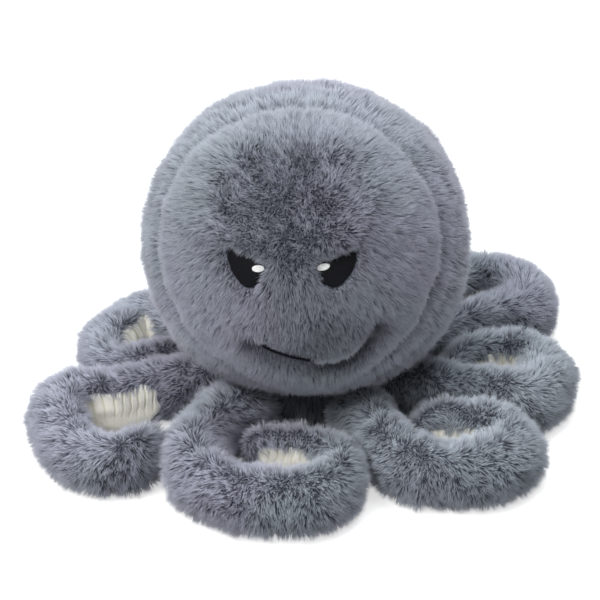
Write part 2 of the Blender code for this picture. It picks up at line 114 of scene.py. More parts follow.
# The cloth is fuller on both sides of the arched seam: height, places from the seam and half width
SEAM_FULLNESS = (0.0016, (0.016, -0.018), 0.013)
# The crown is a little hollow, and the head fullest further down: height, and angle from the top and half
# width in degrees
CROWN_HOLLOW = (0.0018, 0, 26)
FULLEST = (0.0022, 52, 24)
# The smile's valley: depth where bare, how much shallower where covered, and half width
SMILE_VALLEY = (0.0046, 0.0018, 0.0046)
# Where the muzzle's pile hangs over the smile, a fold below its line and a lip above it: depth or height,
# distance from the line and half width
SMILE_FOLD = (0.0074, 0.0060, 0.0046)
SMILE_LIP = (0.0028, 0.0075, 0.0050)
# Pile is cut shorter in the arched seam, above and below the smile, and round an eye: half widths
ARCHED_SEAM_SHORT = 0.0030
SMILE_CLEARING = (0.0120, 0.0050)
EYE_CLEARING = 0.0044
# No tuft stands nearer to the smile's bare thread or to an eye
SMILE_BARE = 0.0026
EYE_BARE = 0.0005
# The cloth under an eye is drawn in: depth, how far outside it that starts, and over what width
EYE_HOLLOW = (0.0034, 0.0030, 0.0035)
# Where the muzzle's pile stands out towards the viewer, and where its tips are painted darker as shade:
# middle and half size
MUZZLE_BRUSHED = ((0.010, -0.012), (0.045, 0.026))
MUZZLE_PAINTED_SHADE = ((0.022, -0.012), (0.058, 0.034))

# Legs: a curl, laid out at eight angles. Legs 1, 2 and 8 have curls of their own
LEG_HEIGHT = 0.046
LEG_HALF_WIDTH = 0.0215
CURL_REACH = 0.1026
CURL_HALF_BREADTH = 0.0410
ROOT_RUN = 0.020
HINGE_GAP = 0.0003
SECTION_CORNERS = 10
LEG_STATIONS = 18
LEG_COLUMNS = 56
LEG_DOME_ROWS = 9
LEG_YAWS = np.radians((-5, 50, 89, 128, 169, 212, 258.5, 305))
ROOT_TURNS = np.radians((-28, -14, -14, -14, -14, -14, -14, -14))
REACH_SHARES = (1.0, 1.0, 0.960, 1.205, 0.943, 0.943, 0.748, 1.110)
OUTGOING_SHARES = (1.0, 1.0, 0.81, 0.84, 0.89, 1.0, 1.0, 1.20)
RETURNING_SHARES = (1.0, 1.0, 0.78, 0.92, 0.95, 1.0, 0.94, 1.04)
TALLNESS_SHARES = (1.0, 1.0, 1.0, 1.12, 1.0, 1.0, 0.87, 1.0)
ROUND_CURL_SHARES = (
    (0.36, -0.68), (0.58, -0.76), (0.79, -0.90), (0.94, -0.66), (1.0, 0), (0.95, 0.60),
    (0.82, 0.92), (0.65, 0.88), (0.49, 0.66), (0.37, 0.40), (0.30, 0.14),
)
FRONT_CURL_SHARES = (
    (0.255, -1.292), (0.433, -1.351), (0.633, -1.209), (0.795, -0.806), (0.862, -0.180), (0.838, 0.501),
    (0.712, 1.012), (0.540, 1.194), (0.362, 0.960), (0.267, 0.327), (0.261, -0.360),
)
SQUARE_CURL_SHARES = (
    (0.327, -0.831), (0.474, -0.967), (0.657, -0.903), (0.844, -0.589), (0.967, -0.123), (1.007, 0.406),
    (0.926, 0.778), (0.732, 0.847), (0.552, 0.661), (0.419, 0.413), (0.348, 0.169),
)
OPEN_CURL_SHARES = (
    (0.36, -0.68), (0.58, -0.76), (0.79, -0.90), (0.94, -0.66), (1.0, 0), (0.98, 0.50),
    (0.91, 0.82), (0.81, 0.96), (0.72, 0.97), (0.65, 0.91), (0.60, 0.82),
)
LEG_CURL_SHARES = (FRONT_CURL_SHARES, SQUARE_CURL_SHARES) + (ROUND_CURL_SHARES,) * 5 + (OPEN_CURL_SHARES,)
WIDTH_SHARES = (0.86, 0.86, 0.88, 0.92, 0.97, 1.0, 1.0, 0.95, 0.85, 0.76, 0.69, 0.62, 0.53)
HEIGHT_SHARES = (1.0, 1.0, 1.0, 1.0, 1.0, 0.98, 0.97, 0.96, 0.95, 0.93, 0.90, 0.86, 0.80)
LINING_EDGE = radians(54)
# How far up each lining shows from under the fur above it, near the root and near the tip,
# and how far along the leg it starts to show
LINING_TOPS = np.radians(
    ((-10, 36), (52, 20), (36, 36), (15, 15), (25, 25), (25, 25), (52, 52), (46, 26))
)
LINING_STARTS = (0.40, 0.08, 0.20, 0.20, 0.20, 0.20, 0.20, 0.13)
LINING_SUNK = 0.0009
LINING_HIDDEN_SUNK = 0.0048
LINING_BULGE = 0.0042
COVER_BEHIND_LINING = 0.0024
# Painted light: the legs' pile tips a little paler all over than the head's pile of the same fur
LEG_LIT_TONE = 1.08

GROUND_CLEARANCE = 0.0004
COVER_CLEARANCE = 0.0012

# Pile: how strands scatter about their tuft's lean and place
LEAN_SCATTER = 0.16
TUFT_SPREAD = 0.00060
ROOT_SUNK = 0.0006
TIP_SCATTER = 0.0004

# Camera: the photograph's size and focal length in its pixels, and where the head's middle falls there
PHOTO_SIZE = 600
FOCAL_PIXELS = 1657
HEAD_IN_VIEW = (306.5, 243)
CAMERA_DISTANCE = 1.2
CAMERA_ELEVATION = radians(28)
CAMERA_AZIMUTH = radians(5)
LAMP_TARGET = (0, 0, 0.1)
FLOOR_HALF = 6.0
FLOOR_LIFT = 0.64


class PileSettings(bpy.types.PropertyGroup):
    """The fur and the cloth it stands on"""

    length: FloatProperty(
        name="Pile length", description="Length of a strand on the head and legs",
        default=0.0088, min=0.001, max=0.03, unit="LENGTH",
    )
    width: FloatProperty(
        name="Strand width", description="Width of a strand at its root",
        default=0.00042, min=0.0001, max=0.003, unit="LENGTH",
    )
    density: FloatProperty(
        name="Strands per square millimetre", description="How densely the strands stand",
        default=3.00, min=0.05, max=5,
    )
    tuft: IntProperty(
        name="Strands in a tuft", description="How many strands lean together",
        default=2, min=1, max=30,
    )
    cloth_depth: FloatProperty(
        name="Depth of the cloth", description="How far the cloth lies below the packed surface",
        default=0.0026, min=0, max=0.01, unit="LENGTH",
    )
    tip_colour: FloatVectorProperty(
        name="Tips", description="Colour of the strands' tips",
        subtype="COLOR", size=3, default=(0.505, 0.520, 0.635), min=0, max=1,
    )
    # The roots' dark is partly the strands' own colour and partly painted shade of the deep pile
    root_colour: FloatVectorProperty(
        name="Roots", description="Colour of the strands' roots",
        subtype="COLOR", size=3, default=(0.050, 0.053, 0.072), min=0, max=1,
    )
    # Painted sheen: greener tips in broad patches, for pile brushed the other way catching the light
    # differently
    green_sheen_colour: FloatVectorProperty(
        name="Greener patches",
        description="Colour of the tips where the pile is brushed the other way",
        subtype="COLOR", size=3, default=(0.480, 0.540, 0.605), min=0, max=1,
    )
    # Painted shade: the ground cloth is coloured dark to stand for the shade between the strands
    shaded_cloth_colour: FloatVectorProperty(
        name="Ground cloth", description="Colour of the cloth under the pile",
        subtype="COLOR", size=3, default=(0.075, 0.080, 0.105), min=0, max=1,
    )


class LiningSettings(bpy.types.PropertyGroup):
    """The ribbed cream cloth inside the curls"""

    rib_pitch: FloatProperty(
        name="Rib pitch", description="Distance from one rib to the next",
        default=0.0066, min=0.001, max=0.02, unit="LENGTH",
    )
    rib_depth: FloatProperty(
        name="Rib depth", description="Depth of the valleys between the ribs",
        default=0.0008, min=0, max=0.003, unit="LENGTH",
    )
    colour: FloatVectorProperty(
        name="Cream", description="Colour of the ribs",
        subtype="COLOR", size=3, default=(0.960, 0.940, 0.880), min=0, max=1,
    )
    # Painted shade: the cream is darker and yellower between the ribs
    shaded_valley_colour: FloatVectorProperty(
        name="Valleys", description="Colour between the ribs",
        subtype="COLOR", size=3, default=(0.700, 0.685, 0.550), min=0, max=1,
    )


class FaceSettings(bpy.types.PropertyGroup):
    """The embroidery of the eyes and the smile"""

    stitch_pitch: FloatProperty(
        name="Stitch pitch", description="Distance from one satin stitch to the next",
        default=0.00055, min=0.0002, max=0.003, unit="LENGTH",
    )
    black: FloatVectorProperty(
        name="Black thread", description="Colour of the eyes and the smile",
        subtype="COLOR", size=3, default=(0.0036, 0.0038, 0.0058), min=0, max=1,
    )
    white: FloatVectorProperty(
        name="White thread", description="Colour of the highlights",
        subtype="COLOR", size=3, default=(0.800, 0.800, 0.780), min=0, max=1,
    )


class StageSettings(bpy.types.PropertyGroup):
    """Floor, lamps and world"""

    key_power: FloatProperty(
        name="Key lamp", description="Power of the lamp above the left front",
        default=29, min=0, max=500, unit="POWER",
    )
    top_power: FloatProperty(
        name="Top lamp", description="Power of the lamp overhead",
        default=22, min=0, max=500, unit="POWER",
    )
    world_level: FloatProperty(
        name="World light", description="Strength of the even light from all round",
        default=0.43, min=0, max=5,
    )
    floor_colour: FloatVectorProperty(
        name="Floor", description="Colour of the floor",
        subtype="COLOR", size=3, default=(0.62, 0.62, 0.62), min=0, max=1,
    )


def settings():
    scene = bpy.context.scene
    return scene.octopus_pile, scene.octopus_lining, scene.octopus_face, scene.octopus_stage


def unit(vectors):
    return vectors / np.maximum(np.linalg.norm(vectors, axis=-1, keepdims=True), 1e-9)


def eased(x):
    """0 below 0, 1 above 1, and a smooth rise between."""
    x = np.clip(x, 0, 1)
    return x * x * (3 - 2 * x)


def bell(x, width):
    return np.exp(-((x / width) ** 2))


def waves(points, size, seed, count=6):
    """Soft bumps about 1 high, the same for the same points and seed."""
    rng = np.random.default_rng(seed)
    directions = unit(rng.normal(size=(count, 3))) * (2 * pi / size) * rng.uniform(0.7, 1.5, (count, 1))
    phases = rng.uniform(0, 2 * pi, count)
    return np.sin(points @ directions.T + phases).sum(axis=-1) / np.sqrt(count / 2)


def wave_vectors(points, size, seed):
    return np.stack([waves(points, size, seed + k) for k in range(3)], axis=-1)


def mound(across, up, middle, size):
    """1 at a middle on the face and falling off smoothly, across and up, over a half size each."""
    return np.exp(-(((across - middle[0]) / size[0]) ** 2) - ((up - middle[1]) / size[1]) ** 2)


def smooth_path(points, steps):
    """Points on a Catmull-Rom curve through the rows of an array."""
    p = np.asarray(points, float)
    ends = np.vstack([2 * p[0] - p[1], p, 2 * p[-1] - p[-2]])
    t = np.arange(steps)[:, None] / steps
    out = []
    for a, b, c, d in zip(ends, ends[1:], ends[2:], ends[3:]):
        square = 2 * a - 5 * b + 4 * c - d
        cube = 3 * b - a - 3 * c + d
        out.append((2 * b + (c - a) * t + square * t**2 + cube * t**3) / 2)
    return np.vstack(out + [p[-1:]])


def lengths_along(line):
    """How far along a line of points each of them lies."""
    return np.concatenate([[0], np.cumsum(np.linalg.norm(np.diff(line, axis=0), axis=1))])


def turns_round(count):
    return np.arange(count) * 2 * pi / count


# Meshes and pieces


def mesh_of(name, verts, faces, uvs=None):
    """A smooth mesh from an array of points and a list of face arrays.

    uvs has a row for each corner, in the faces' order.
    """
    mesh = bpy.data.meshes.new(name)
    faces = [np.atleast_2d(f) for f in faces if len(f)]
    corners = np.concatenate([f.ravel() for f in faces])
    totals = np.concatenate([np.full(len(f), f.shape[1]) for f in faces])
    starts = np.concatenate([[0], np.cumsum(totals)[:-1]])
    mesh.vertices.add(len(verts))
    mesh.vertices.foreach_set("co", np.ascontiguousarray(verts, np.float32).ravel())
    mesh.loops.add(len(corners))
    mesh.loops.foreach_set("vertex_index", corners.astype(np.int32))
    mesh.polygons.add(len(totals))
    mesh.polygons.foreach_set("loop_start", starts.astype(np.int32))
    mesh.polygons.foreach_set("loop_total", totals.astype(np.int32))
    if uvs is not None:
        layer = mesh.uv_layers.new(name="OFBake")
        layer.data.foreach_set("uv", np.ascontiguousarray(uvs, np.float32).ravel())
    mesh.update(calc_edges=True)
    mesh.validate()
    mesh.shade_smooth()
    return mesh


def grid_faces(rows, columns, closed):
    """Quads between neighbouring rows of points. A closed grid also joins its last column to its first."""
    i = np.arange(rows - 1)[:, None] * columns
    j = np.arange(columns if closed else columns - 1)[None, :]
    k = (j + 1) % columns
    return np.stack([i + j, i + k, i + columns + k, i + columns + j], axis=-1).reshape(-1, 4)


def end_faces(rows, columns):
    """The two faces that close a tube of rings at its first and its last row, the first one turned over."""
    around = np.arange(columns)[None]
    return [around[:, ::-1], (rows - 1) * columns + around]


def top_and_bottom(rows, columns):
    """The two faces that close a turned piece at its first and its last row, the last one turned over."""
    around = np.arange(columns)[None]
    return [around, (rows - 1) * columns + around[:, ::-1]]


def grid_uvs(rows, columns, closed):
    """The grid laid flat over the whole map, a row of four corners for each quad."""
    across = columns if closed else columns - 1
    i = np.arange(rows - 1)[:, None] + np.zeros(across)[None, :]
    j = np.arange(across)[None, :] + np.zeros(rows - 1)[:, None]
    u = np.stack([j, j + 1, j + 1, j], axis=-1) / across
    v = np.stack([i, i, i + 1, i + 1], axis=-1) / (rows - 1)
    return np.stack([0.004 + 0.992 * u, 0.004 + 0.992 * v], axis=-1).reshape(-1, 2)


def keep_number(mesh, name, values):
    attribute = mesh.attributes.new(name, "FLOAT", "POINT")
    attribute.data.foreach_set("value", np.ascontiguousarray(values, np.float32))


def add_piece(name, mesh, body, material, nodes=()):
    """Puts a finished mesh in the scene as a piece on its body, in place of the named nodes."""
    piece = bpy.data.objects.new(name, mesh)
    bpy.context.scene.collection.objects.link(piece)
    mesh.materials.append(material)
    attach(piece, body)
    if nodes:
        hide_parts(*nodes)
    return piece


# Materials


class NodeSheet:
    """A material's nodes, added and joined by name."""

    def __init__(self, name):
        self.material = bpy.data.materials.get(name)
        self.fresh = self.material is None
        if self.fresh:
            self.material = bpy.data.materials.new(name)
            self.material.use_nodes = True
            self.tree = self.material.node_tree
            self.shader = self.tree.nodes["Principled BSDF"]

    def add(self, kind, **values):
        node = self.tree.nodes.new(kind)
        for key, value in values.items():
            setattr(node, key, value)
        return node

    def join(self, out, into):
        self.tree.links.new(out, into)

    def noise(self, scale, detail=3.0, roughness=0.55):
        place = self.add("ShaderNodeTexCoord")
        noise = self.add("ShaderNodeTexNoise")
        noise.inputs["Scale"].default_value = scale
        noise.inputs["Detail"].default_value = detail
        noise.inputs["Roughness"].default_value = roughness
        self.join(place.outputs["Object"], noise.inputs["Vector"])
        return noise.outputs["Fac"]

    def ranged(self, value, from_low, from_high, to_low, to_high):
        node = self.add("ShaderNodeMapRange")
        limits = {"From Min": from_low, "From Max": from_high, "To Min": to_low, "To Max": to_high}
        for key, number in limits.items():
            node.inputs[key].default_value = number
        self.join(value, node.inputs["Value"])
        return node.outputs["Result"]

    def number(self, name):
        return self.add("ShaderNodeAttribute", attribute_name=name).outputs["Fac"]

    def mixed(self, share, first, second):
        """Mixes two colours, each a colour or a socket, by a share that is a number or a socket."""
        node = self.add("ShaderNodeMix", data_type="RGBA", blend_type="MIX")
        for socket, value in ((node.inputs[0], share), (node.inputs[6], first), (node.inputs[7], second)):
            if isinstance(value, bpy.types.NodeSocket):
                self.join(value, socket)
            elif isinstance(value, (int, float)):
                socket.default_value = value
            else:
                socket.default_value = (*value, 1)
        return node.outputs[2]

    def finish(self, colour, roughness, height, strength, distance, **sockets):
        self.join(colour, self.shader.inputs["Base Color"])
        self.join(roughness, self.shader.inputs["Roughness"])
        bump = self.add("ShaderNodeBump")
        bump.inputs["Strength"].default_value = strength
        bump.inputs["Distance"].default_value = distance
        self.join(height, bump.inputs["Height"])
        self.join(bump.outputs["Normal"], self.shader.inputs["Normal"])
        for key, value in sockets.items():
            self.shader.inputs[key.replace("_", " ")].default_value = value
        return self.material


def pile_material():
    """Strands dark at the root, partly as painted shade of the deep pile, and pale at the tip, each tuft a
    little different, in broad patches.
    """
    pile = settings()[0]
    sheet = NodeSheet("fur pile")
    if not sheet.fresh:
        return sheet.material
    # Broad patches of greener tips: painted sheen of pile brushed the other way
    patches = sheet.ranged(sheet.noise(9.0, 2.0), 0.38, 0.62, 0, 1)
    tips = sheet.mixed(patches, tuple(pile.tip_colour), tuple(pile.green_sheen_colour))
    tone = sheet.add("ShaderNodeHueSaturation")
    # tuft: each tuft's tone, which carries the painted shade and light of its place
    sheet.join(sheet.number("tuft"), tone.inputs["Value"])
    sheet.join(tips, tone.inputs["Color"])
    # Dark roots to pale tips along each strand: partly the strands' own colour, partly painted shade of the
    # deep pile
    along = sheet.add("ShaderNodeMapRange", interpolation_type="SMOOTHSTEP")
    along.inputs["From Min"].default_value = 0.06
    along.inputs["From Max"].default_value = 0.88
    sheet.join(sheet.number("along"), along.inputs["Value"])
    strand = sheet.mixed(along.outputs["Result"], tuple(pile.root_colour), tone.outputs["Color"])
    rough = sheet.ranged(sheet.noise(900.0, 1.0), 0.3, 0.7, 0.75, 0.95)
    fine = sheet.noise(2600.0, 1.0)
    return sheet.finish(
        strand, rough, fine, 0.2, 0.0001,
        Sheen_Weight=0.55, Sheen_Roughness=0.5, Sheen_Tint=(0.88, 0.88, 1.0, 1), Specular_IOR_Level=0.15,
    )


def cloth_material():
    """The knitted ground that the pile stands on, coloured dark as painted shade. It shows only as the dark
    between the strands.
    """
    pile = settings()[0]
    sheet = NodeSheet("fur ground cloth")
    if not sheet.fresh:
        return sheet.material
    base = tuple(pile.shaded_cloth_colour)
    # Mottled painted shade, from a third to over twice the cloth's dark colour
    mottled_shade = sheet.ranged(sheet.noise(1100.0, 3.0, 0.7), 0.42, 0.66, 0.0, 1.0)
    colour = sheet.mixed(mottled_shade, tuple(0.3 * c for c in base), tuple(2.4 * c for c in base))
    rough = sheet.ranged(sheet.noise(500.0), 0.3, 0.7, 0.85, 1.0)
    return sheet.finish(colour, rough, sheet.noise(1400.0, 4.0), 0.5, 0.0006, Specular_IOR_Level=0.1)


def lining_material():
    """Cream cloth: pale ribs, valleys painted darker and yellower as shade, and a fine cross weave."""
    lining = settings()[1]
    sheet = NodeSheet("ribbed cream lining")
    if not sheet.fresh:
        return sheet.material
    colour = sheet.mixed(sheet.number("valley"), tuple(lining.colour), tuple(lining.shaded_valley_colour))
    specks = sheet.ranged(sheet.noise(900.0, 4.0), 0.40, 0.66, 0.0, 0.34)
    worn = sheet.mixed(specks, colour, tuple(lining.shaded_valley_colour))
    rough = sheet.ranged(sheet.noise(700.0), 0.3, 0.7, 0.8, 0.98)
    return sheet.finish(
        worn, rough, sheet.noise(1300.0, 3.0), 0.80, 0.0007,
        Sheen_Weight=0.2, Sheen_Roughness=0.5, Specular_IOR_Level=0.15,
    )


def thread_material(name, colour, roughness, gloss):
    """Embroidery thread, its tone changing a little from stitch to stitch."""
    sheet = NodeSheet(name)
    if not sheet.fresh:
        return sheet.material
    dark = tuple(0.7 * c for c in colour)
    pale = tuple(min(1.3 * c, 1) for c in colour)
    tones = sheet.mixed(sheet.noise(600.0, 2.0), dark, pale)
    rough = sheet.ranged(sheet.noise(1200.0), 0.3, 0.7, roughness - 0.08, roughness + 0.12)
    return sheet.finish(tones, rough, sheet.noise(3000.0, 2.0), 0.3, 0.0001, Specular_IOR_Level=gloss)


def plain_cloth_material(name, dark, pale, scale):
    sheet = NodeSheet(name)
    if not sheet.fresh:
        return sheet.material
    colour = sheet.mixed(sheet.noise(scale, 4.0), dark, pale)
    rough = sheet.ranged(sheet.noise(scale * 1.7), 0.3, 0.7, 0.85, 1.0)
    return sheet.finish(colour, rough, sheet.noise(scale * 3, 3.0), 0.5, 0.0008, Specular_IOR_Level=0.1)


def filling_material():
    return plain_cloth_material("polyester fibre filling", (0.70, 0.70, 0.68), (0.88, 0.88, 0.86), 160.0)


# Pile


def cover_arrays(mesh):
    """The corners of a cover's triangles, its points and its points' normals."""
    mesh.calc_loop_triangles()
    tris = np.empty(len(mesh.loop_triangles) * 3, np.int32)
    mesh.loop_triangles.foreach_get("vertices", tris)
    points = np.empty(len(mesh.vertices) * 3, np.float32)
    mesh.vertices.foreach_get("co", points)
    normals = np.empty(len(mesh.vertices) * 3, np.float32)
    mesh.vertex_normals.foreach_get("vector", normals)
    return tris.reshape(-1, 3), points.reshape(-1, 3).astype(float), normals.reshape(-1, 3).astype(float)


def scatter_tufts(rng, mesh, thin, carried, share):
    """Places and normals of tufts spread evenly over a cover, and what the cover's points carry there."""
    pile = settings()[0]
    tris, points, normals = cover_arrays(mesh)
    corners = points[tris]
    sides = corners[:, 1:] - corners[:, :1]
    areas = np.linalg.norm(np.cross(sides[:, 0], sides[:, 1]), axis=1) / 2
    tufts = int(areas.sum() * 1e6 * pile.density * share / pile.tuft)
    found = np.searchsorted(np.cumsum(areas) / areas.sum(), rng.random(tufts))
    chosen = tris[found.clip(0, len(tris) - 1)]
    a, b = rng.random((2, tufts))
    a, b = np.where(a + b > 1, 1 - a, a), np.where(a + b > 1, 1 - b, b)
    weights = np.stack([1 - a - b, a, b], axis=1)[:, :, None]
    centre = (points[chosen] * weights).sum(axis=1)
    normal = unit((normals[chosen] * weights).sum(axis=1))
    extra = (carried[chosen] * weights).sum(axis=1)
    stays = rng.random(tufts) < thin(centre, normal, extra)
    return centre[stays], normal[stays], extra[stays]


def tuft_headings(rng, centre, normal, lean):
    """Where tufts point: along their normals, leant as combed, with a scatter and slow and quick waves."""
    lean = lean + rng.normal(0, LEAN_SCATTER, (len(centre), 3))
    lean += 0.16 * wave_vectors(centre, 0.040, 11) + 0.14 * wave_vectors(centre, 0.0085, 21)
    lean -= normal * (lean * normal).sum(axis=1, keepdims=True)
    return unit(normal + lean)


def tuft_strands(rng, centre, normal, heading, reach, share):
    """Roots and tips of strands that start round a tuft's middle and draw together at their tips."""
    count = settings()[0].tuft
    tufts = len(centre)
    side = unit(np.cross(normal, rng.normal(size=(tufts, 3))))
    other = np.cross(normal, side)
    spread = TUFT_SPREAD * np.sqrt(1 / share) * np.sqrt(rng.random((tufts, count, 1)))
    turn = rng.uniform(0, 2 * pi, (tufts, count, 1))
    offset = spread * (np.cos(turn) * side[:, None] + np.sin(turn) * other[:, None])
    root = centre[:, None] + offset - ROOT_SUNK * normal[:, None]
    tip = centre[:, None] + offset * rng.uniform(0.3, 0.9, (tufts, count, 1))
    tip = tip + heading[:, None] * (reach[:, None, None] * rng.uniform(0.75, 1.06, (tufts, count, 1)))
    tip = tip + rng.normal(0, TIP_SCATTER, tip.shape)
    return root.reshape(-1, 3), tip.reshape(-1, 3)


def spikes(rng, root, tip, skin, width):
    """Points and shading normals of slim three-sided spikes, four to a strand with the tip last."""
    axis = unit(tip - root)
    first = unit(np.cross(axis, rng.normal(size=axis.shape)))
    second = np.cross(axis, first)
    verts = np.empty((len(root), 4, 3))
    shading = np.empty_like(verts)
    radius = width * rng.uniform(0.42, 0.62, (len(root), 1))
    for i in range(3):
        out = cos(2 * pi * i / 3) * first + sin(2 * pi * i / 3) * second
        verts[:, i] = root + out * radius
        shading[:, i] = unit(0.75 * skin + 0.65 * out)
    verts[:, 3] = tip
    shading[:, 3] = unit(0.8 * skin + 0.4 * axis)
    verts[:, :, 2] = np.maximum(verts[:, :, 2], GROUND_CLEARANCE)
    return verts, shading


def spike_uvs(strands):
    """Each spike's three sides laid beside each other, in a cell of its own."""
    columns = max(int(np.sqrt(strands * 3.5)), 1)
    rows = -(-strands // columns)
    number = np.arange(strands)
    cell = np.stack([number % columns, number // columns], axis=1).astype(float)
    side = ((0.05, 0.05), (0.95, 0.05), (0.5, 0.95))
    corner = np.array([((i + c) / 3, v) for i in range(3) for c, v in side])
    return ((cell[:, None] + corner[None]) / (columns, rows)).reshape(-1, 2)


def grow_pile(name, cover, body, seed, length, comb, thin, carried, shade):
    """Strands on a cover, as slim closed spikes that stand in tufts.

    length and comb are functions of (points, normals, carried values) that give each tuft its length and
    lean. thin gives each tuft its chance to stay, and shade the tone of its tips, which carries the painted
    shade and light. carried are the numbers that the cover's points carry.
    """
    pile = settings()[0]
    rng = np.random.default_rng(seed)
    share = 1
    width = pile.width / 1
    centre, normal, extra = scatter_tufts(rng, cover.data, thin, carried, share)
    heading = tuft_headings(rng, centre, normal, comb(centre, normal, extra))
    reach = length(centre, normal, extra) * rng.uniform(0.82, 1.12, len(centre))
    root, tip = tuft_strands(rng, centre, normal, heading, reach, share)
    mixed = np.repeat(rng.random(len(centre)), pile.tuft) * 0.6 + rng.random(len(root)) * 0.4
    # The tips' tone: a random share for each tuft and strand, times the painted shade and light that shade
    # gives
    tone = (0.80 + 0.40 * mixed) * np.repeat(shade(centre), pile.tuft)
    verts, shading = spikes(rng, root, tip, np.repeat(normal, pile.tuft, axis=0), width)
    base = np.arange(len(root))[:, None] * 4
    faces = np.concatenate([base + (0, 1, 3), base + (1, 2, 3), base + (2, 0, 3)], axis=1).reshape(-1, 3)
    strands = mesh_of(name, verts.reshape(-1, 3), [faces], spike_uvs(len(root)))
    keep_number(strands, "along", np.tile((0.0, 0.0, 0.0, 1.0), len(root)))
    keep_number(strands, "tuft", np.repeat(tone, 4))
    strands.normals_split_custom_set_from_vertices(shading.reshape(-1, 3))
    return add_piece(name, strands, body, pile_material())


# Head


def head_profile(inset, bottom, arc=90, curve=16):
    """(radius, height) rows down the head's outside, drawn in by inset, from the ball to the body's wall."""
    ball = HEAD_RADIUS - inset
    shoulder = SHOULDER_HEIGHT + inset
    underside = UNDERSIDE_HEIGHT + inset
    wall = BODY_RADIUS - inset
    middle = HEAD_CENTRE[2]
    turn = pi / 2 + np.arcsin((middle - shoulder) / ball)
    turns = np.linspace(0, turn, arc + 1)
    rows = [np.stack([ball * np.sin(turns), middle + ball * np.cos(turns)], axis=1)]
    last = rows[0][-1]
    control = np.array((last[0] + (last[1] - underside) * cos(turn) / sin(turn), underside))
    neck = np.array((wall + NECK_FILLET, underside))
    low = np.array((wall, underside - NECK_FILLET))
    t = (np.arange(curve) + 1)[:, None] / curve
    rows.append((1 - t) ** 2 * last + 2 * t * (1 - t) * control + t**2 * neck)
    rows.append((1 - t) ** 2 * neck + 2 * t * (1 - t) * np.array((wall, underside)) + t**2 * low)
    rows.append(np.stack([np.full(8, wall), np.linspace(low[1], bottom, 9)[1:]], axis=1))
    return np.vstack(rows)


def turned(profile, sectors):
    """The points of a profile turned about Z, a row for each point of it."""
    turns = turns_round(sectors)
    r, z = profile[:, :1], profile[:, 1:]
    return np.stack([r * np.sin(turns), -r * np.cos(turns), z + 0 * turns], axis=-1)


def face_place(points):
    """Across and up on the face for points near the head's ball, and whether each is on the front."""
    outward = unit(points - HEAD_CENTRE)
    front = outward[..., 1] < -0.1
    return outward[..., 0] * HEAD_RADIUS, outward[..., 2] * HEAD_RADIUS, front


def seam_distance(points):
    """How far a point lies in front of the plane of the arched seam, negative behind it."""
    rel = points - HEAD_CENTRE
    return -rel[..., 1] * cos(FACE_SEAM_TILT) + rel[..., 2] * sin(FACE_SEAM_TILT) - FACE_SEAM_DISTANCE


def mouth_distance(across, up):
    """Distance from the smile's line, how far along it from 0 to 1, and whether the place is above it."""
    line = smooth_path(MOUTH_PLACES, 6)
    place = np.stack([across, up], axis=-1)
    gap = np.full(across.shape, 1.0)
    along = np.zeros(across.shape)
    above = np.zeros(across.shape, bool)
    for k, (p, q) in enumerate(zip(line, line[1:])):
        d = q - p
        t = np.clip(((place - p) @ d) / (d @ d), 0, 1)
        off = place - (p + t[..., None] * d)
        size = np.hypot(off[..., 0], off[..., 1])
        near = size < gap
        gap = np.where(near, size, gap)
        along = np.where(near, (k + t) / (len(line) - 1), along)
        above = np.where(near, off[..., 0] * -d[1] + off[..., 1] * d[0] > 0, above)
    return gap, along, above


def inside_outline(across, up, outline):
    """Signed distance to a closed outline on the face: negative inside it."""
    place = np.stack([across, up], axis=-1)
    gap = np.full(across.shape, 1.0)
    inside = np.zeros(across.shape, bool)
    for p, q in zip(outline, np.roll(outline, -1, axis=0)):
        d = q - p
        t = np.clip(((place - p) @ d) / (d @ d), 0, 1)
        off = place - (p + t[..., None] * d)
        gap = np.minimum(gap, np.hypot(off[..., 0], off[..., 1]))
        crosses = (p[1] > up) != (q[1] > up)
        with np.errstate(divide="ignore", invalid="ignore"):
            at = p[0] + (up - p[1]) * d[0] / d[1]
        inside ^= crosses & (across < at)
    return np.where(inside, -gap, gap)


def rounded(outline, rounds):
    points = np.asarray(outline, float)
    for _ in range(rounds):
        after = np.roll(points, -1, axis=0)
        points = np.stack([points * 0.8 + after * 0.2, points * 0.2 + after * 0.8], axis=1).reshape(-1, 2)
    return points


def eye_outline(place, side):
    shares = rounded(EYE_OUTLINE_SHARES, 3)
    return np.array(place) + shares * (side * EYE_HALF_LENGTH, EYE_HALF_HEIGHT)


def eye_distance(across, up):
    return np.minimum(*[inside_outline(across, up, eye_outline(*EYES[name])) for name in EYES])


def mouth_bared(along):
    """1 where the smile's thread lies bare and 0 where the muzzle's pile hangs over it."""
    return eased((along + 0.01) / 0.06) * (1 - eased((along - 0.36) / 0.10))


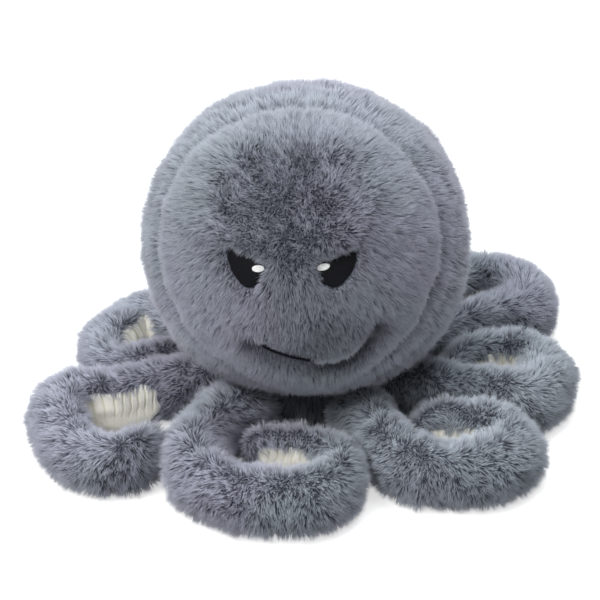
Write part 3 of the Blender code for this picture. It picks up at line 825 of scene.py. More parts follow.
def head_swell(points):
    """How far the stuffed cover stands out from the turned shape: full panels, valleys, muzzle and chin."""
    outward = unit(points - HEAD_CENTRE)
    seam = seam_distance(points)
    polar = np.degrees(np.arccos(np.clip(outward[..., 2], -1, 1)))
    height, angle, width = FULLEST
    swell = height * bell(polar - angle, width)
    sewn = eased((outward[..., 2] + 0.48) / 0.26)
    height, places, width = SEAM_FULLNESS
    for place in places:
        swell += height * bell(seam - place, width) * sewn
    depth, angle, width = CROWN_HOLLOW
    swell -= depth * bell(polar - angle, width)
    depth, width = ARCHED_SEAM
    swell -= depth * bell(seam, width) * sewn
    upper = eased((outward[..., 2] - 0.12) / 0.35) * (outward[..., 1] < 0.95)
    depth, width = MIDDLE_SEAM
    swell -= depth * bell(points[..., 0], width) * upper
    across, up, front = face_place(points)
    ahead = np.where(front, eased((-outward[..., 1] - 0.3) / 0.3), 0)
    for height, middle, size in (MUZZLE_RISE, CHIN_RISE):
        swell += ahead * height * mound(across, up, middle, size)
    gap, along, above = mouth_distance(across, up)
    covered = 1 - mouth_bared(along)
    depth, shallower, width = SMILE_VALLEY
    swell -= ahead * (depth - shallower * covered) * bell(gap, width)
    ends = eased(along / 0.06) * eased((1 - along) / 0.10)
    depth, distance, width = SMILE_FOLD
    swell -= ahead * depth * covered * ends * bell(np.where(above, 1.0, gap) - distance, width)
    height, distance, width = SMILE_LIP
    swell += ahead * height * covered * ends * bell(np.where(above, gap, 1.0) - distance, width)
    height, middle, size = BROW_RISE
    swell += ahead * height * mound(np.abs(across), up, middle, size)
    depth, start, width = EYE_HOLLOW
    swell -= ahead * depth * eased((start - eye_distance(across, up)) / width)
    swell += 0.0007 * waves(points, 0.060, 5) + 0.0004 * waves(points, 0.022, 6)
    return swell


def head_pile_length(points, _, __):
    """Shorter in the seam, over the smile and round the eyes, and longer on the wall between the legs."""
    pile = settings()[0]
    across, up, front = face_place(points)
    length = np.full(len(points), pile.length)
    length *= 1 - 0.25 * bell(seam_distance(points), ARCHED_SEAM_SHORT)
    gap, along, above = mouth_distance(across, up)
    bared = mouth_bared(along)
    clearing = np.where(above, bell(gap, SMILE_CLEARING[0]), bell(gap, SMILE_CLEARING[1]))
    shy = np.where(front, 1 - (0.26 + 0.56 * bared) * clearing, 1)
    shy *= np.where(front & ~above, 1 - 0.50 * (1 - bared) * bell(gap - SMILE_FOLD[1], 0.004), 1)
    brow_side = eased((up - 0.040) / 0.006)
    nose_side = eased((0.024 - np.abs(across)) / 0.006)
    over_eye = 0.66 - 0.20 * brow_side - 0.40 * nose_side
    shy *= np.where(front, 1 - over_eye * bell(np.maximum(eye_distance(across, up), 0), EYE_CLEARING), 1)
    wall = eased((0.060 - points[:, 2]) / 0.01) * (points[:, 1] < 0)
    return length * shy * (1 + 0.35 * wall)


def from_crown(points, width):
    return bell(np.linalg.norm(points - HEAD_CENTRE - CROWN * HEAD_RADIUS, axis=1), width)


def head_pile_comb(points, normals, _):
    """Brushed forward at the crown and away from it all round, ever flatter, and down over the seams."""
    away = points - HEAD_CENTRE - CROWN * HEAD_RADIUS
    distance = np.linalg.norm(away, axis=1)
    away -= normals * (away * normals).sum(axis=1, keepdims=True)
    flat = eased((distance - 0.028) / 0.052)[:, None]
    across, up, front = face_place(points)
    muzzle = front * mound(across, up, *MUZZLE_BRUSHED)
    lean = 1.15 * flat * unit(away) * (1 - 0.62 * muzzle)[:, None] + 0.40 * (1 - flat) * FORWARD
    lean[:, 2] -= 0.15 * flat[:, 0]
    lean[:, 0] += np.sign(points[:, 0]) * 0.25 * bell(points[:, 0], 0.006) * eased(up / 0.03)
    beside_eye = bell(np.maximum(eye_distance(across, up), 0), 0.0045)
    nose = front * beside_eye * eased((0.026 - np.abs(across)) / 0.006)
    lean[:, 0] += 1.1 * np.sign(across) * nose
    gap, along, above = mouth_distance(across, up)
    over = np.where(above, 2.0 * mouth_bared(along) * bell(gap, 0.010), -0.5 * bell(gap, 0.005))
    lean[:, 2] += np.where(front, over, 0)
    return lean


def head_pile_thin(points, _, __):
    """None on the eyes or the smile's bare thread, and fewer behind, where there is more than enough."""
    across, up, front = face_place(points)
    gap, along = mouth_distance(across, up)[:2]
    stays = np.where(front & (gap < SMILE_BARE * mouth_bared(along)), 0.0, 1.0)
    stays = np.where(front & (eye_distance(across, up) < EYE_BARE), 0.0, stays)
    hidden = eased((0.060 - points[:, 2]) / 0.01) * (points[:, 1] > -0.02)
    behind = eased((-0.004 - seam_distance(points)) / 0.01)
    crown = from_crown(points, 0.045)
    muzzle = front * mound(across, up, *MUZZLE_BRUSHED)
    return stays * (1 - 0.75 * hidden) * (1 - 0.69 * behind) * (1 - 0.62 * crown) * (1 - 0.35 * muzzle)


def head_pile_shade(points):
    """Painted shade on the tips: darker at the crown, where the pile is seen end on, over the muzzle, in the
    fold and on the chin.
    """
    across, up, front = face_place(points)
    gap, along, above = mouth_distance(across, up)
    crown = from_crown(points, 0.056)
    chin = eased((-0.040 - up) / 0.030) * front
    muzzle = front * mound(across, up, *MUZZLE_PAINTED_SHADE)
    under = front * (~above) * (1 - 0.5 * mouth_bared(along))
    fold = under * bell(gap - 0.0046, 0.0056)
    return HEAD_SHADED_TONE * (1 - 0.44 * crown) * (1 - 0.58 * chin) * (1 - 0.38 * muzzle) * (1 - 0.88 * fold)


def head_surface():
    """The head's stuffed cover: points row by row from the top, faces, their uvs and their middles."""
    profile = head_profile(settings()[0].cloth_depth, HEAD_FOOT)
    profile[0, 0] = TOP_HOLE
    grid = turned(profile, HEAD_SECTORS)
    flat = grid.reshape(-1, 3)
    step_down = np.gradient(grid, axis=0)
    step_round = np.roll(grid, -1, axis=1) - np.roll(grid, 1, axis=1)
    outward = unit(np.cross(step_down, step_round)).reshape(-1, 3)
    swell = head_swell(flat) * eased((flat[:, 2] - SWELL_BOTTOM) / SWELL_RISE)
    faces = grid_faces(len(profile), HEAD_SECTORS, True)
    uvs = grid_uvs(len(profile), HEAD_SECTORS, True).reshape(-1, 4, 2)
    return flat + outward * swell[:, None], faces, uvs, flat[faces].mean(axis=1)


def make_head():
    """Four cover panels with their pile, the stuffing inside and the base."""
    verts, faces, uvs, middle = head_surface()
    ahead = seam_distance(middle) > 0
    right = middle[:, 0] > 0
    panels = {
        "face_left": ahead & ~right,
        "face_right": ahead & right,
        "back_left": ~ahead & ~right,
        "back_right": ~ahead & right,
    }
    for number, (panel, chosen) in enumerate(panels.items()):
        used, packed = np.unique(faces[chosen], return_inverse=True)
        quads = packed.reshape(-1, 4)[:, ::-1]
        panel_uvs = uvs[chosen][:, ::-1].reshape(-1, 2)
        mesh = mesh_of(f"cover_head_{panel}", verts[used], [quads], panel_uvs)
        cover = add_piece(mesh.name, mesh, "head", cloth_material(), [f"head_{panel}"])
        grow_pile(
            f"pile_head_{panel}", cover, "head", 100 + 10 * number,
            head_pile_length, head_pile_comb, head_pile_thin, np.zeros((len(used), 0)), head_pile_shade,
        )
    make_stuffing()
    make_base()


def make_stuffing():
    """The head's fibre filling, slightly lumpy and just clear of its covers."""
    sectors = 72
    grid = turned(head_profile(CUT_PILE, HEAD_FOOT, 36, 6), sectors)
    grid[0, :, :2] *= 0.02
    points = grid.reshape(-1, 3)
    inward = unit(HEAD_CENTRE * (1, 1, 0.6) - points)
    points = points + inward * (0.0012 + 0.0008 * waves(points, 0.03, 9))[:, None]
    points[:, 2] = np.maximum(points[:, 2], HEAD_FOOT)
    sides = grid_faces(len(grid), sectors, True)[:, ::-1]
    mesh = mesh_of("filling_head", points, [sides, *top_and_bottom(len(grid), sectors)])
    add_piece(mesh.name, mesh, "head", filling_material(), ["head_filling"])


def make_base():
    """The round panel that closes the body from below, with a rolled edge and a short nap."""
    sectors = 120
    edge = 0.0014
    r = BODY_RADIUS - edge
    turns = np.linspace(0, pi / 2, 6)
    top = np.stack([r + edge * np.sin(turns), BASE_THICKNESS - edge + edge * np.cos(turns)], axis=1)
    low = np.stack([r + edge * np.cos(turns), GROUND_CLEARANCE + edge - edge * np.sin(turns)], axis=1)
    flat_top = np.stack([np.linspace(0.0005, r, 26)[:-1], np.full(25, BASE_THICKNESS)], axis=1)
    flat_low = np.stack([np.linspace(r, 0.0005, 26)[1:], np.full(25, GROUND_CLEARANCE)], axis=1)
    grid = turned(np.vstack([flat_top, top, low, flat_low]), sectors)
    nap = 0.00025 * (1 + waves(grid, 0.004, 12, 9))
    middle = (grid[..., 2] > BASE_THICKNESS / 2) * 2 - 1
    grid[..., 2] = np.maximum(grid[..., 2] - middle * nap, GROUND_CLEARANCE)
    sides = grid_faces(len(grid), sectors, True)[:, ::-1]
    mesh = mesh_of("base_cover", grid.reshape(-1, 3), [sides, *top_and_bottom(len(grid), sectors)])
    look = plain_cloth_material("short nap base cloth", (0.10, 0.11, 0.14), (0.19, 0.21, 0.26), 420.0)
    add_piece(mesh.name, mesh, "head", look, ["base_panel"])


# Face


def on_ball(places, radius):
    """Points over the face's places, on a ball of these radii about the head's middle."""
    across, up = places[..., 0], places[..., 1]
    outward = np.stack([across, -np.sqrt(HEAD_RADIUS**2 - across**2 - up**2), up], axis=-1) / HEAD_RADIUS
    return HEAD_CENTRE + outward * np.asarray(radius)[..., None]


def padded_ground(outline, floor, height):
    """Rings of a patch's outline drawn in to its middle, slightly crowned, with a wall at its edge."""
    shares = np.array((1.0, 1.0, 0.93, 0.75, 0.5, 0.25, 0.02))
    rise = np.array((0.0, 0.62, 0.78, 0.86, 0.9, 0.92, 0.92)) * height
    middle = outline.mean(axis=0)
    rings = middle + (outline[None] - middle) * shares[:, None, None]
    points = on_ball(rings, floor + rise[:, None] + 0 * rings[..., 0]).reshape(-1, 3)
    count = len(outline)
    return points, [grid_faces(len(shares), count, True), *top_and_bottom(len(shares), count)]


def crossings(outline, lane):
    """Where a closed outline crosses a line at this height, in order."""
    places = []
    for p, q in zip(outline, np.roll(outline, -1, axis=0)):
        if (p[1] > lane) != (q[1] > lane):
            places.append(p[0] + (lane - p[1]) * (q[0] - p[0]) / (q[1] - p[1]))
    return sorted(places)


def satin_stitch(low, high, lane, height, pitch):
    """A half-round thread from low to high along a lane: places and heights, five round by nine along."""
    t = np.linspace(0, 1, 9)
    spine = np.stack([low + (high - low) * t, lane + 0.12 * pitch * np.sin(t * 7 + lane * 9e3)], axis=1)
    arch = height * (0.55 + 0.37 * np.sin(pi * np.clip(t * 0.98 + 0.01, 0, 1)) ** 0.35)
    places = []
    lifts = []
    for k in range(STITCH_SIDES):
        around = pi * k / (STITCH_SIDES - 1)
        places.append(spine + np.stack([0 * t, np.full(9, 0.56 * pitch * cos(around))], axis=1))
        lifts.append(arch + 0.30 * pitch * np.sin(around))
    return places, lifts


def stitched_patch(name, outline, floor, height, pitch, slant, material, node):
    """A patch of satin stitches side by side, each from edge to edge over a padded ground."""
    turn = np.array(((cos(slant), -sin(slant)), (sin(slant), cos(slant))))
    laid = outline @ turn
    ground, faces = padded_ground(outline, floor, height)
    verts = [ground]
    start = len(ground)
    lanes = np.arange(laid[:, 1].min() + pitch * 0.6, laid[:, 1].max() - pitch * 0.3, pitch)
    rng = np.random.default_rng(len(outline) + int(1e5 * abs(outline.mean(axis=0)[0])))
    for lane in lanes:
        ends = crossings(laid, lane)
        for low, high in zip(ends[::2], ends[1::2]):
            if high - low < pitch:
                continue
            low += rng.uniform(-0.3, 0.1) * pitch
            high += rng.uniform(-0.1, 0.3) * pitch
            places, lifts = satin_stitch(low, high, lane, height, pitch)
            rows = [on_ball(place @ turn.T, floor + lift) for place, lift in zip(places, lifts)]
            block = np.stack(rows, axis=1).reshape(-1, 3)
            verts.append(block)
            faces.append(grid_faces(9, STITCH_SIDES, False) + start)
            start += len(block)
    mesh = mesh_of(name, np.vstack(verts), faces)
    return add_piece(name, mesh, "head", material, [node])


def make_face():
    """Embroidered eyes with their highlights, and the smile's twisted thread."""
    face = settings()[2]
    black = thread_material("black embroidery thread", tuple(face.black), 0.60, 0.12)
    white = thread_material("white embroidery thread", tuple(face.white), 0.55, 0.3)
    floor = HEAD_RADIUS - EYE_DEPTH + 0.0004
    turns = np.linspace(0, 2 * pi, 40, endpoint=False)
    oval = np.stack([HIGHLIGHT_HALF_LENGTH * np.cos(turns), HIGHLIGHT_HALF_HEIGHT * np.sin(turns)], axis=1)
    slope = (cos(HIGHLIGHT_TILT), sin(HIGHLIGHT_TILT))
    tilt = np.array((slope, (-slope[1], slope[0])))
    for name, (place, side) in EYES.items():
        outline = eye_outline(place, side)
        stitched_patch(
            f"embroidery_eye_{name}", outline, floor, EYE_HEIGHT, face.stitch_pitch, EYE_STITCH_SLANT * side,
            black, f"eye_{name}",
        )
        spot = oval @ tilt + (place[0] + side * HIGHLIGHT_INSET, place[1] + HIGHLIGHT_RISE)
        stitched_patch(
            f"embroidery_highlight_{name}", spot, floor + HIGHLIGHT_LIFT, HIGHLIGHT_HEIGHT,
            face.stitch_pitch * 0.9, radians(90), white, f"eye_highlight_{name}",
        )
    make_smile(black)


def make_smile(material):
    """Two plies twisted about each other along the groove."""
    line = smooth_path(MOUTH_PLACES, 40)
    bared = mouth_bared(np.linspace(0, 1, len(line)))
    centre = on_ball(line, HEAD_RADIUS - MOUTH_SUNK - MOUTH_COVERED_SUNK * (1 - bared))
    ahead = unit(np.gradient(centre, axis=0))
    side = unit(np.cross(ahead, unit(centre - HEAD_CENTRE)))
    outward = np.cross(side, ahead)
    walked = lengths_along(centre)
    ply = MOUTH_THREAD_RADIUS * 0.56
    taper = eased(np.minimum(walked, walked[-1] - walked) / 0.003)[:, None, None] * 0.7 + 0.3
    sides = 8
    around = turns_round(sides)[None, :, None]
    ring = np.cos(around) * side[:, None] + np.sin(around) * outward[:, None]
    verts = []
    faces = []
    for number in range(2):
        turn = walked / MOUTH_TWIST * 2 * pi + pi * number
        strand = centre + (np.cos(turn)[:, None] * side + np.sin(turn)[:, None] * outward) * ply * 0.78
        tube = strand[:, None] + ply * taper * ring
        start = number * len(centre) * sides
        verts.append(tube.reshape(-1, 3))
        faces.append(grid_faces(len(centre), sides, True)[:, ::-1] + start)
        faces += [end + start for end in top_and_bottom(len(centre), sides)]
    mesh = mesh_of("smile_thread", np.vstack(verts), faces)
    add_piece("smile_thread", mesh, "head", material, ["mouth_thread"])


# Legs


def leg_stations(number):
    """The leg's sections from hinge to tip: middle, direction inwards, half width and half height."""
    half_share = 1 / (1 + cos(pi / SECTION_CORNERS))
    hinge = BODY_RADIUS + HINGE_GAP + LEG_HEIGHT * half_share
    reach = CURL_REACH * REACH_SHARES[number]
    root_turn = ROOT_TURNS[number]
    points = []
    for distance in (hinge, hinge + ROOT_RUN):
        points.append((distance * cos(root_turn), distance * sin(root_turn), LEG_HEIGHT))
    for along, across in LEG_CURL_SHARES[number]:
        side_share = RETURNING_SHARES[number] if across > 0 else OUTGOING_SHARES[number]
        spread = 1 + (side_share - 1) * along
        tall = 1 + (TALLNESS_SHARES[number] - 1) * along
        points.append((hinge + reach * along, CURL_HALF_BREADTH * spread * across, LEG_HEIGHT * tall))
    sized = [
        (out, across, LEG_HALF_WIDTH * wide, height * tall * half_share)
        for (out, across, height), wide, tall in zip(points, WIDTH_SHARES, HEIGHT_SHARES)
    ]
    fine = smooth_path(sized, 12)
    walked = lengths_along(fine[:, :2])
    goals = np.linspace(0, walked[-1], LEG_STATIONS)
    rows = np.stack([np.interp(goals, walked, column) for column in fine.T], axis=1)
    facing = LEG_YAWS[number] - pi / 2
    turn = np.array(((cos(facing), -sin(facing)), (sin(facing), cos(facing))))
    middle = np.column_stack([rows[:, :2] @ turn.T, rows[:, 3] * cos(pi / SECTION_CORNERS)])
    heading = np.zeros((LEG_STATIONS, 2))
    heading[1:-1] = middle[2:, :2] - middle[:-2, :2]
    heading[-1] = middle[-1, :2] - middle[-2, :2]
    heading[0] = (cos(facing + root_turn), sin(facing + root_turn))
    heading = unit(heading)
    inward = np.stack([-heading[:, 1], heading[:, 0]], axis=1)
    return np.column_stack([middle, inward, rows[:, 2], rows[:, 3]])


def finer(stations, steps):
    """The sections with more between them: middles, inward directions, half widths and half heights."""
    rows = smooth_path(stations, steps)
    inward = unit(np.column_stack([rows[:, 3:5], np.zeros(len(rows))]))
    return rows[:, :3], inward, rows[:, 5], rows[:, 6]


def closed_rings(stations, steps, domes):
    """Rows of sections with a rounded root and tip beyond them."""
    middle, inward, wide, tall = finer(stations, steps)
    heading = np.stack([inward[:, 1], -inward[:, 0], 0 * wide], axis=1)
    turns = np.linspace(0, radians(87), domes + 1)[1:]
    root = turns[::-1]
    blunt = np.cos(root) ** 0.35
    middles = [middle[0] - heading[0] * (tall[0] * np.sin(root))[:, None], middle]
    middles.append(middle[-1] + heading[-1] * (wide[-1] * np.sin(turns))[:, None])
    wides = np.concatenate([wide[0] * blunt, wide, wide[-1] * np.cos(turns)])
    talls = np.concatenate([tall[0] * np.cos(root), tall, tall[-1] * np.cos(turns)])
    inwards = np.concatenate([np.tile(inward[0], (domes, 1)), inward, np.tile(inward[-1], (domes, 1))])
    return np.vstack(middles), inwards, wides, talls


def leg_points(rings, turns, sunk):
    """Points round each section at these angles, each sunk by its own depth."""
    middle, inward, wide, tall = rings
    across = np.cos(turns) * np.maximum(wide[:, None] - sunk, 0.0002)
    up = np.sin(turns) * np.maximum(tall[:, None] - sunk, 0.0002)
    points = middle[:, None] + inward[:, None] * across[..., None]
    points[..., 2] += up
    return points


def lining_top(number, along):
    root, tip = LINING_TOPS[number]
    return root + (tip - root) * eased(along)


def lining_shows(number, turns, along):
    """1 where the lining shows on the inner side of a leg, 0 where fur covers it.

    along is 0 at the hinge and 1 at the tip. The place that shows is rounded at both ends, with a
    wandering edge.
    """
    edge = lining_top(number, along) + 0.07 * np.sin(along * 37 + number)
    above = eased((edge + radians(3) - turns) / radians(7))
    below = eased((turns + LINING_EDGE + radians(3)) / radians(7))
    rounding = 0.060 * (turns / LINING_EDGE) ** 2 + 0.006 * np.sin(turns * 9 + number)
    started = eased((along - LINING_STARTS[number] - rounding) / 0.05)
    ended = eased((1.02 - 0.7 * rounding - along) / 0.03)
    return above * below * started * ended


def leg_cover(number, name):
    """The leg's stuffed cover: fur cloth round three sides, set back behind the lining on the inner side.

    Its points carry what the pile needs: across and up round the section, 0 on the rounded ends, the
    direction to the inner side, where the lining shows, and how far along the leg they lie.
    """
    columns = LEG_COLUMNS
    domes = LEG_DOME_ROWS
    rings = closed_rings(leg_stations(number), 6, domes)
    turns = turns_round(columns)
    from_inner = (turns + pi) % (2 * pi) - pi
    rows = len(rings[0])
    along = np.clip((np.arange(rows) - domes) / (rows - 2 * domes - 1), 0, 1)
    ends = np.ones(rows)
    ends[:domes] = ends[-domes:] = 0
    shows = lining_shows(number, from_inner[None], along[:, None]) * ends[:, None]
    points = leg_points(rings, turns, settings()[0].cloth_depth + COVER_BEHIND_LINING * shows)
    away = unit(points - rings[0][:, None])
    lumps = 0.0009 * waves(points, 0.055, 40 + number) + 0.0005 * waves(points, 0.020, 50 + number)
    points = points + away * lumps[..., None]
    points[..., 2] = np.maximum(points[..., 2], COVER_CLEARANCE)
    sides = grid_faces(rows, columns, True)
    uvs = np.vstack([grid_uvs(rows, columns, True), np.full((2 * columns, 2), 0.002)])
    mesh = mesh_of(name, points.reshape(-1, 3), [sides, *end_faces(rows, columns)], uvs)
    carried = np.stack(
        [
            np.tile(np.cos(turns), rows),
            np.tile(np.sin(turns), rows),
            np.repeat(ends, columns),
            np.repeat(rings[1][:, 0], columns),
            np.repeat(rings[1][:, 1], columns),
            shows.ravel(),
            np.repeat(along, columns),
        ],
        axis=1,
    )
    return mesh, carried


def fringe(number, carried):
    """1 at the lining's upper edge, where the pile hangs over it, and falling off above."""
    across, up, on_tube, _, _, _, along = carried.T
    started = eased((along - LINING_STARTS[number] + 0.04) / 0.05)
    over = np.arctan2(up, across) - lining_top(number, along) - radians(4)
    return bell(over, radians(14)) * on_tube * started


def leg_pile_length(number, points, carried):
    """Ragged, shorter under the leg, and longer where the photograph shows it so on legs 1, 4 and 8."""
    across, _, _, _, _, _, along = carried.T
    under = eased((0.006 - points[:, 2]) / 0.005)
    tufted = 1 + 0.07 * waves(points, 0.011, 31)
    ends = 1 + 0.55 * eased((along - 0.88) / 0.1) * (number == 7)
    ends += 0.50 * eased((0.30 - along) / 0.12) * (number == 0)
    ends += 0.30 * eased(across / 0.5) * (number == 3)
    ends -= 0.35 * eased((along - 0.50) / 0.1) * eased((across + 0.2) / 0.4) * (number == 7)
    return settings()[0].length * tufted * ends * (1 + 0.10 * fringe(number, carried)) * (1 - 0.45 * under)


def leg_pile_comb(number, points, normals, carried):
    """Brushed outwards and down over the top, and along the leg over both ends of the lining."""
    across, _, _, inward_x, inward_y, _, along = carried.T
    lean = np.zeros((len(points), 3))
    top = eased((normals[:, 2] - 0.15) / 0.6)
    lean[:, 2] -= 0.05 + 0.55 * top + 0.55 * fringe(number, carried)
    outside = points[:, :2] / np.maximum(np.linalg.norm(points[:, :2], axis=1, keepdims=True), 1e-6)
    lean[:, :2] += (0.12 + 0.45 * top)[:, None] * outside
    heading = np.column_stack([inward_y, -inward_x])
    lapped = bell(along - LINING_STARTS[number], 0.035) - eased((along - 0.94) / 0.05)
    lean[:, :2] += (1.3 * lapped * eased(across / 0.4))[:, None] * heading
    return lean


def leg_pile_thin(points, carried):
    """None where the lining shows, and fewer underneath."""
    shows = carried[:, 5]
    under = points[:, 2] < 0.0016
    return 0.62 * (shows < 0.3) * (1 - 0.75 * under)


def leg_lining(number, name):
    """The ribbed strip down the curl's inner side, its ribs from its lower edge to its upper one."""
    lining = settings()[1]
    steps = 40
    rings = finer(leg_stations(number), steps)
    columns = 17
    turns = np.linspace(-1, 1, columns) * (LINING_EDGE + radians(4))
    walked = lengths_along(rings[0] + rings[1] * rings[2][:, None])[:, None]
    wander = 0.12 * np.sin(turns * 2.3 + number)[None] + 0.30 * np.sin(walked * 110 + turns[None] * 1.5)
    phase = (walked / lining.rib_pitch + wander) % 1
    gathered = 0.10 + 0.90 * eased((turns + 0.55) / 1.2)[None]
    valley = bell(np.minimum(phase, 1 - phase), 0.13) * gathered
    along = np.linspace(0, 1, len(rings[0]))
    hidden = 1 - lining_shows(number, turns[None], along[:, None])
    fuller = LINING_BULGE * eased((-0.05 - turns) / 0.75)[None] * (1 - hidden)
    sunk = LINING_SUNK + lining.rib_depth * valley + LINING_HIDDEN_SUNK * hidden - fuller
    points = leg_points(rings, turns, sunk)
    points += 0.0003 * wave_vectors(points, 0.012, 70 + number)
    points[..., 2] = np.maximum(points[..., 2], GROUND_CLEARANCE)
    rows = len(points)
    uvs = grid_uvs(rows, columns, False)
    mesh = mesh_of(name, points.reshape(-1, 3), [grid_faces(rows, columns, False)], uvs)
    # valley also darkens the lining's colour between the ribs: painted shade
    keep_number(mesh, "valley", valley.ravel())
    return mesh


def leg_filling(number, name):
    """The leg's fibre filling, slightly lumpy and just clear of its cover and lining."""
    rings = closed_rings(leg_stations(number), 2, 4)
    columns = 28
    turns = turns_round(columns)
    from_inner = np.abs((turns + pi) % (2 * pi) - pi)
    sunk = np.where(from_inner < LINING_EDGE, 0.0056, CUT_PILE + 0.0006)
    points = leg_points(rings, turns, sunk[None])
    points += 0.0005 * wave_vectors(points, 0.02, 80 + number)
    rows = len(points)
    sides = grid_faces(rows, columns, True)
    return mesh_of(name, points.reshape(-1, 3), [sides, *end_faces(rows, columns)])


def make_legs():
    """Eight curled legs: cover, pile and filling."""
    for number in range(8):
        body = f"leg_{number + 1}"
        mesh, carried = leg_cover(number, f"cover_{body}")
        cover = add_piece(mesh.name, mesh, body, cloth_material(), [f"{body}_fur"])
        grow_pile(
            f"pile_{body}", cover, body, 300 + 10 * number,
            lambda points, _, extra: leg_pile_length(number, points, extra),
            lambda points, normals, extra: leg_pile_comb(number, points, normals, extra),
            lambda points, _, extra: leg_pile_thin(points, extra),
            carried,
            # the legs' tips painted a little paler all over: painted light
            lambda points: np.full(len(points), LEG_LIT_TONE),
        )
        mesh = leg_filling(number, f"filling_{body}")
        add_piece(mesh.name, mesh, body, filling_material(), [f"{body}_filling"])


def make_linings():
    """The eight ribbed linings."""
    for number in range(8):
        body = f"leg_{number + 1}"
        mesh = leg_lining(number, f"lining_{body}")
        add_piece(mesh.name, mesh, body, lining_material(), [f"{body}_lining"])


# Stage


def white_to_camera(tree, light, white):
    """Mixes a light that shows to the camera and in reflections with the one that lights the scene."""
    path = tree.nodes.new("ShaderNodeLightPath")
    seen = tree.nodes.new("ShaderNodeMath")
    seen.operation = "MAXIMUM"
    also = tree.nodes.new("ShaderNodeMath")
    also.operation = "MAXIMUM"
    tree.links.new(path.outputs["Is Camera Ray"], seen.inputs[0])
    tree.links.new(path.outputs["Is Glossy Ray"], seen.inputs[1])
    tree.links.new(seen.outputs["Value"], also.inputs[0])
    tree.links.new(path.outputs["Is Transmission Ray"], also.inputs[1])
    mix = tree.nodes.new("ShaderNodeMixShader")
    tree.links.new(also.outputs["Value"], mix.inputs["Fac"])
    tree.links.new(light, mix.inputs[1])
    tree.links.new(white, mix.inputs[2])
    return mix.outputs["Shader"]


def make_world(level):
    world = bpy.data.worlds.new("studio")
    world.use_nodes = True
    tree = world.node_tree
    light = tree.nodes["Background"]
    light.inputs["Color"].default_value = (0.97, 0.98, 1.0, 1)
    light.inputs["Strength"].default_value = level
    white = tree.nodes.new("ShaderNodeBackground")
    white.inputs["Color"].default_value = (1, 1, 1, 1)
    out = white_to_camera(tree, light.outputs["Background"], white.outputs["Background"])
    tree.links.new(out, tree.nodes["World Output"].inputs["Surface"])
    bpy.context.scene.world = world


def make_lamp(name, place, size, power, colour):
    """A round lamp over the toy, turned towards it."""
    lamp = bpy.data.lights.new(name, "AREA")
    lamp.shape = "DISK"
    lamp.size = size
    lamp.energy = power
    lamp.color = colour
    holder = bpy.data.objects.new(name, lamp)
    holder.location = place
    holder.rotation_euler = (Vector(LAMP_TARGET) - Vector(place)).to_track_quat("-Z", "Y").to_euler()
    bpy.context.scene.collection.objects.link(holder)


def make_floor(colour):
    """A pale floor that is white to the camera except where the toy shades it."""
    mesh = bpy.data.meshes.new("floor")
    corners = [(x * FLOOR_HALF, y * FLOOR_HALF, 0) for x, y in ((-1, -1), (1, -1), (1, 1), (-1, 1))]
    mesh.from_pydata(corners, [], [(0, 1, 2, 3)])
    floor = bpy.data.objects.new("floor", mesh)
    bpy.context.scene.collection.objects.link(floor)
    sheet = NodeSheet("studio floor")
    colours = sheet.mixed(sheet.noise(3.0), tuple(0.985 * c for c in colour), tuple(colour))
    rough = sheet.ranged(sheet.noise(40.0), 0.3, 0.7, 0.8, 0.95)
    sheet.finish(colours, rough, sheet.noise(80.0), 0.02, 0.0005, Specular_IOR_Level=0.0)
    path = sheet.add("ShaderNodeLightPath")
    glow = sheet.add("ShaderNodeEmission")
    lift = sheet.add("ShaderNodeMath", operation="MULTIPLY")
    lift.inputs[1].default_value = FLOOR_LIFT
    sheet.join(path.outputs["Is Camera Ray"], lift.inputs[0])
    sheet.join(lift.outputs["Value"], glow.inputs["Strength"])
    both = sheet.add("ShaderNodeAddShader")
    sheet.join(sheet.shader.outputs["BSDF"], both.inputs[0])
    sheet.join(glow.outputs["Emission"], both.inputs[1])
    sheet.join(both.outputs["Shader"], sheet.tree.nodes["Material Output"].inputs["Surface"])
    mesh.materials.append(sheet.material)


def make_camera():
    """The photograph's view: above the floor at its angle, a little to one side, with its framing."""
    flat = cos(CAMERA_ELEVATION)
    back = Vector((sin(CAMERA_AZIMUTH) * flat, -cos(CAMERA_AZIMUTH) * flat, sin(CAMERA_ELEVATION)))
    target = Vector(HEAD_CENTRE)
    camera = bpy.data.cameras.new("camera")
    camera.lens = 99.42
    camera.sensor_width = 36
    camera.clip_start = 0.05
    camera.clip_end = 50
    holder = bpy.data.objects.new("camera", camera)
    holder.location = target + back * CAMERA_DISTANCE
    look = (target - holder.location).to_track_quat("-Z", "Y").to_matrix()
    aside = Matrix.Rotation(atan2(HEAD_IN_VIEW[0] - PHOTO_SIZE / 2, FOCAL_PIXELS), 3, "Y")
    tilted = Matrix.Rotation(atan2(HEAD_IN_VIEW[1] - PHOTO_SIZE / 2, FOCAL_PIXELS), 3, "X")
    holder.rotation_euler = (look @ aside @ tilted).to_euler()
    bpy.context.scene.collection.objects.link(holder)
    bpy.context.scene.camera = holder


class OCTOPUS_OT_head(bpy.types.Operator):
    """Make the head's cover, pile, filling and base"""

    bl_idname = "octopus.make_head"
    bl_label = "Head and base"

    def execute(self, context):
        make_head()
        return {"FINISHED"}


class OCTOPUS_OT_legs(bpy.types.Operator):
    """Make the eight legs' covers, pile and filling"""

    bl_idname = "octopus.make_legs"
    bl_label = "Legs"

    def execute(self, context):
        make_legs()
        return {"FINISHED"}


class OCTOPUS_OT_linings(bpy.types.Operator):
    """Make the ribbed linings inside the curls"""

    bl_idname = "octopus.make_linings"
    bl_label = "Linings"

    def execute(self, context):
        make_linings()
        return {"FINISHED"}


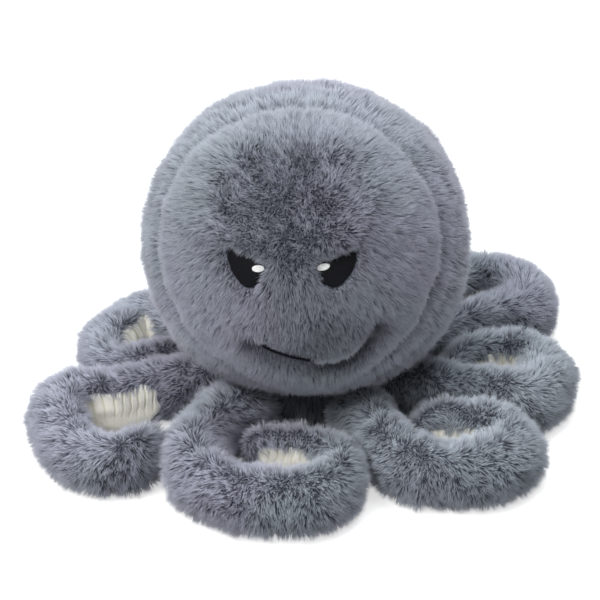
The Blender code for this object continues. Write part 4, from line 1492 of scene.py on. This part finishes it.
class OCTOPUS_OT_face(bpy.types.Operator):
    """Make the embroidered eyes and the smile"""

    bl_idname = "octopus.make_face"
    bl_label = "Face"

    def execute(self, context):
        make_face()
        return {"FINISHED"}


class OCTOPUS_OT_stage(bpy.types.Operator):
    """Make the floor, lamps, world and camera"""

    bl_idname = "octopus.make_stage"
    bl_label = "Stage"

    def execute(self, context):
        stage = settings()[3]
        make_world(stage.world_level)
        make_floor(tuple(stage.floor_colour))
        make_lamp("key", (-0.75, -1.05, 1.55), 1.1, stage.key_power, (1.0, 0.99, 0.97))
        make_lamp("top", (0.25, 0.25, 1.75), 1.3, stage.top_power, (0.97, 1.0, 0.99))
        make_camera()
        context.scene.view_settings.view_transform = "Standard"
        return {"FINISHED"}


class OCTOPUS_PT_panel(bpy.types.Panel):
    """Buttons and settings for the plush octopus"""

    bl_label = "Plush octopus"
    bl_idname = "OCTOPUS_PT_panel"
    bl_space_type = "VIEW_3D"
    bl_region_type = "UI"
    bl_category = "Octopus"

    def draw(self, context):
        layout = self.layout
        for operator in OPERATORS:
            layout.operator(operator.bl_idname)
        for group in settings():
            box = layout.box()
            for key in group.bl_rna.properties.keys():
                if key not in ("name", "rna_type"):
                    box.prop(group, key)


GROUPS = {
    "octopus_pile": PileSettings,
    "octopus_lining": LiningSettings,
    "octopus_face": FaceSettings,
    "octopus_stage": StageSettings,
}
OPERATORS = (OCTOPUS_OT_head, OCTOPUS_OT_legs, OCTOPUS_OT_linings, OCTOPUS_OT_face, OCTOPUS_OT_stage)


def register():
    for cls in (*GROUPS.values(), *OPERATORS, OCTOPUS_PT_panel):
        bpy.utils.register_class(cls)
    for name, group in GROUPS.items():
        setattr(bpy.types.Scene, name, PointerProperty(type=group))


def unregister():
    for name in GROUPS:
        delattr(bpy.types.Scene, name)
    for cls in (OCTOPUS_PT_panel, *OPERATORS[::-1], *list(GROUPS.values())[::-1]):
        bpy.utils.unregister_class(cls)


def main():
    register()
    bpy.ops.octopus.make_stage()
    bpy.ops.octopus.make_head()
    bpy.ops.octopus.make_legs()
    bpy.ops.octopus.make_linings()
    bpy.ops.octopus.make_face()


if __name__ == "__main__":
    main()
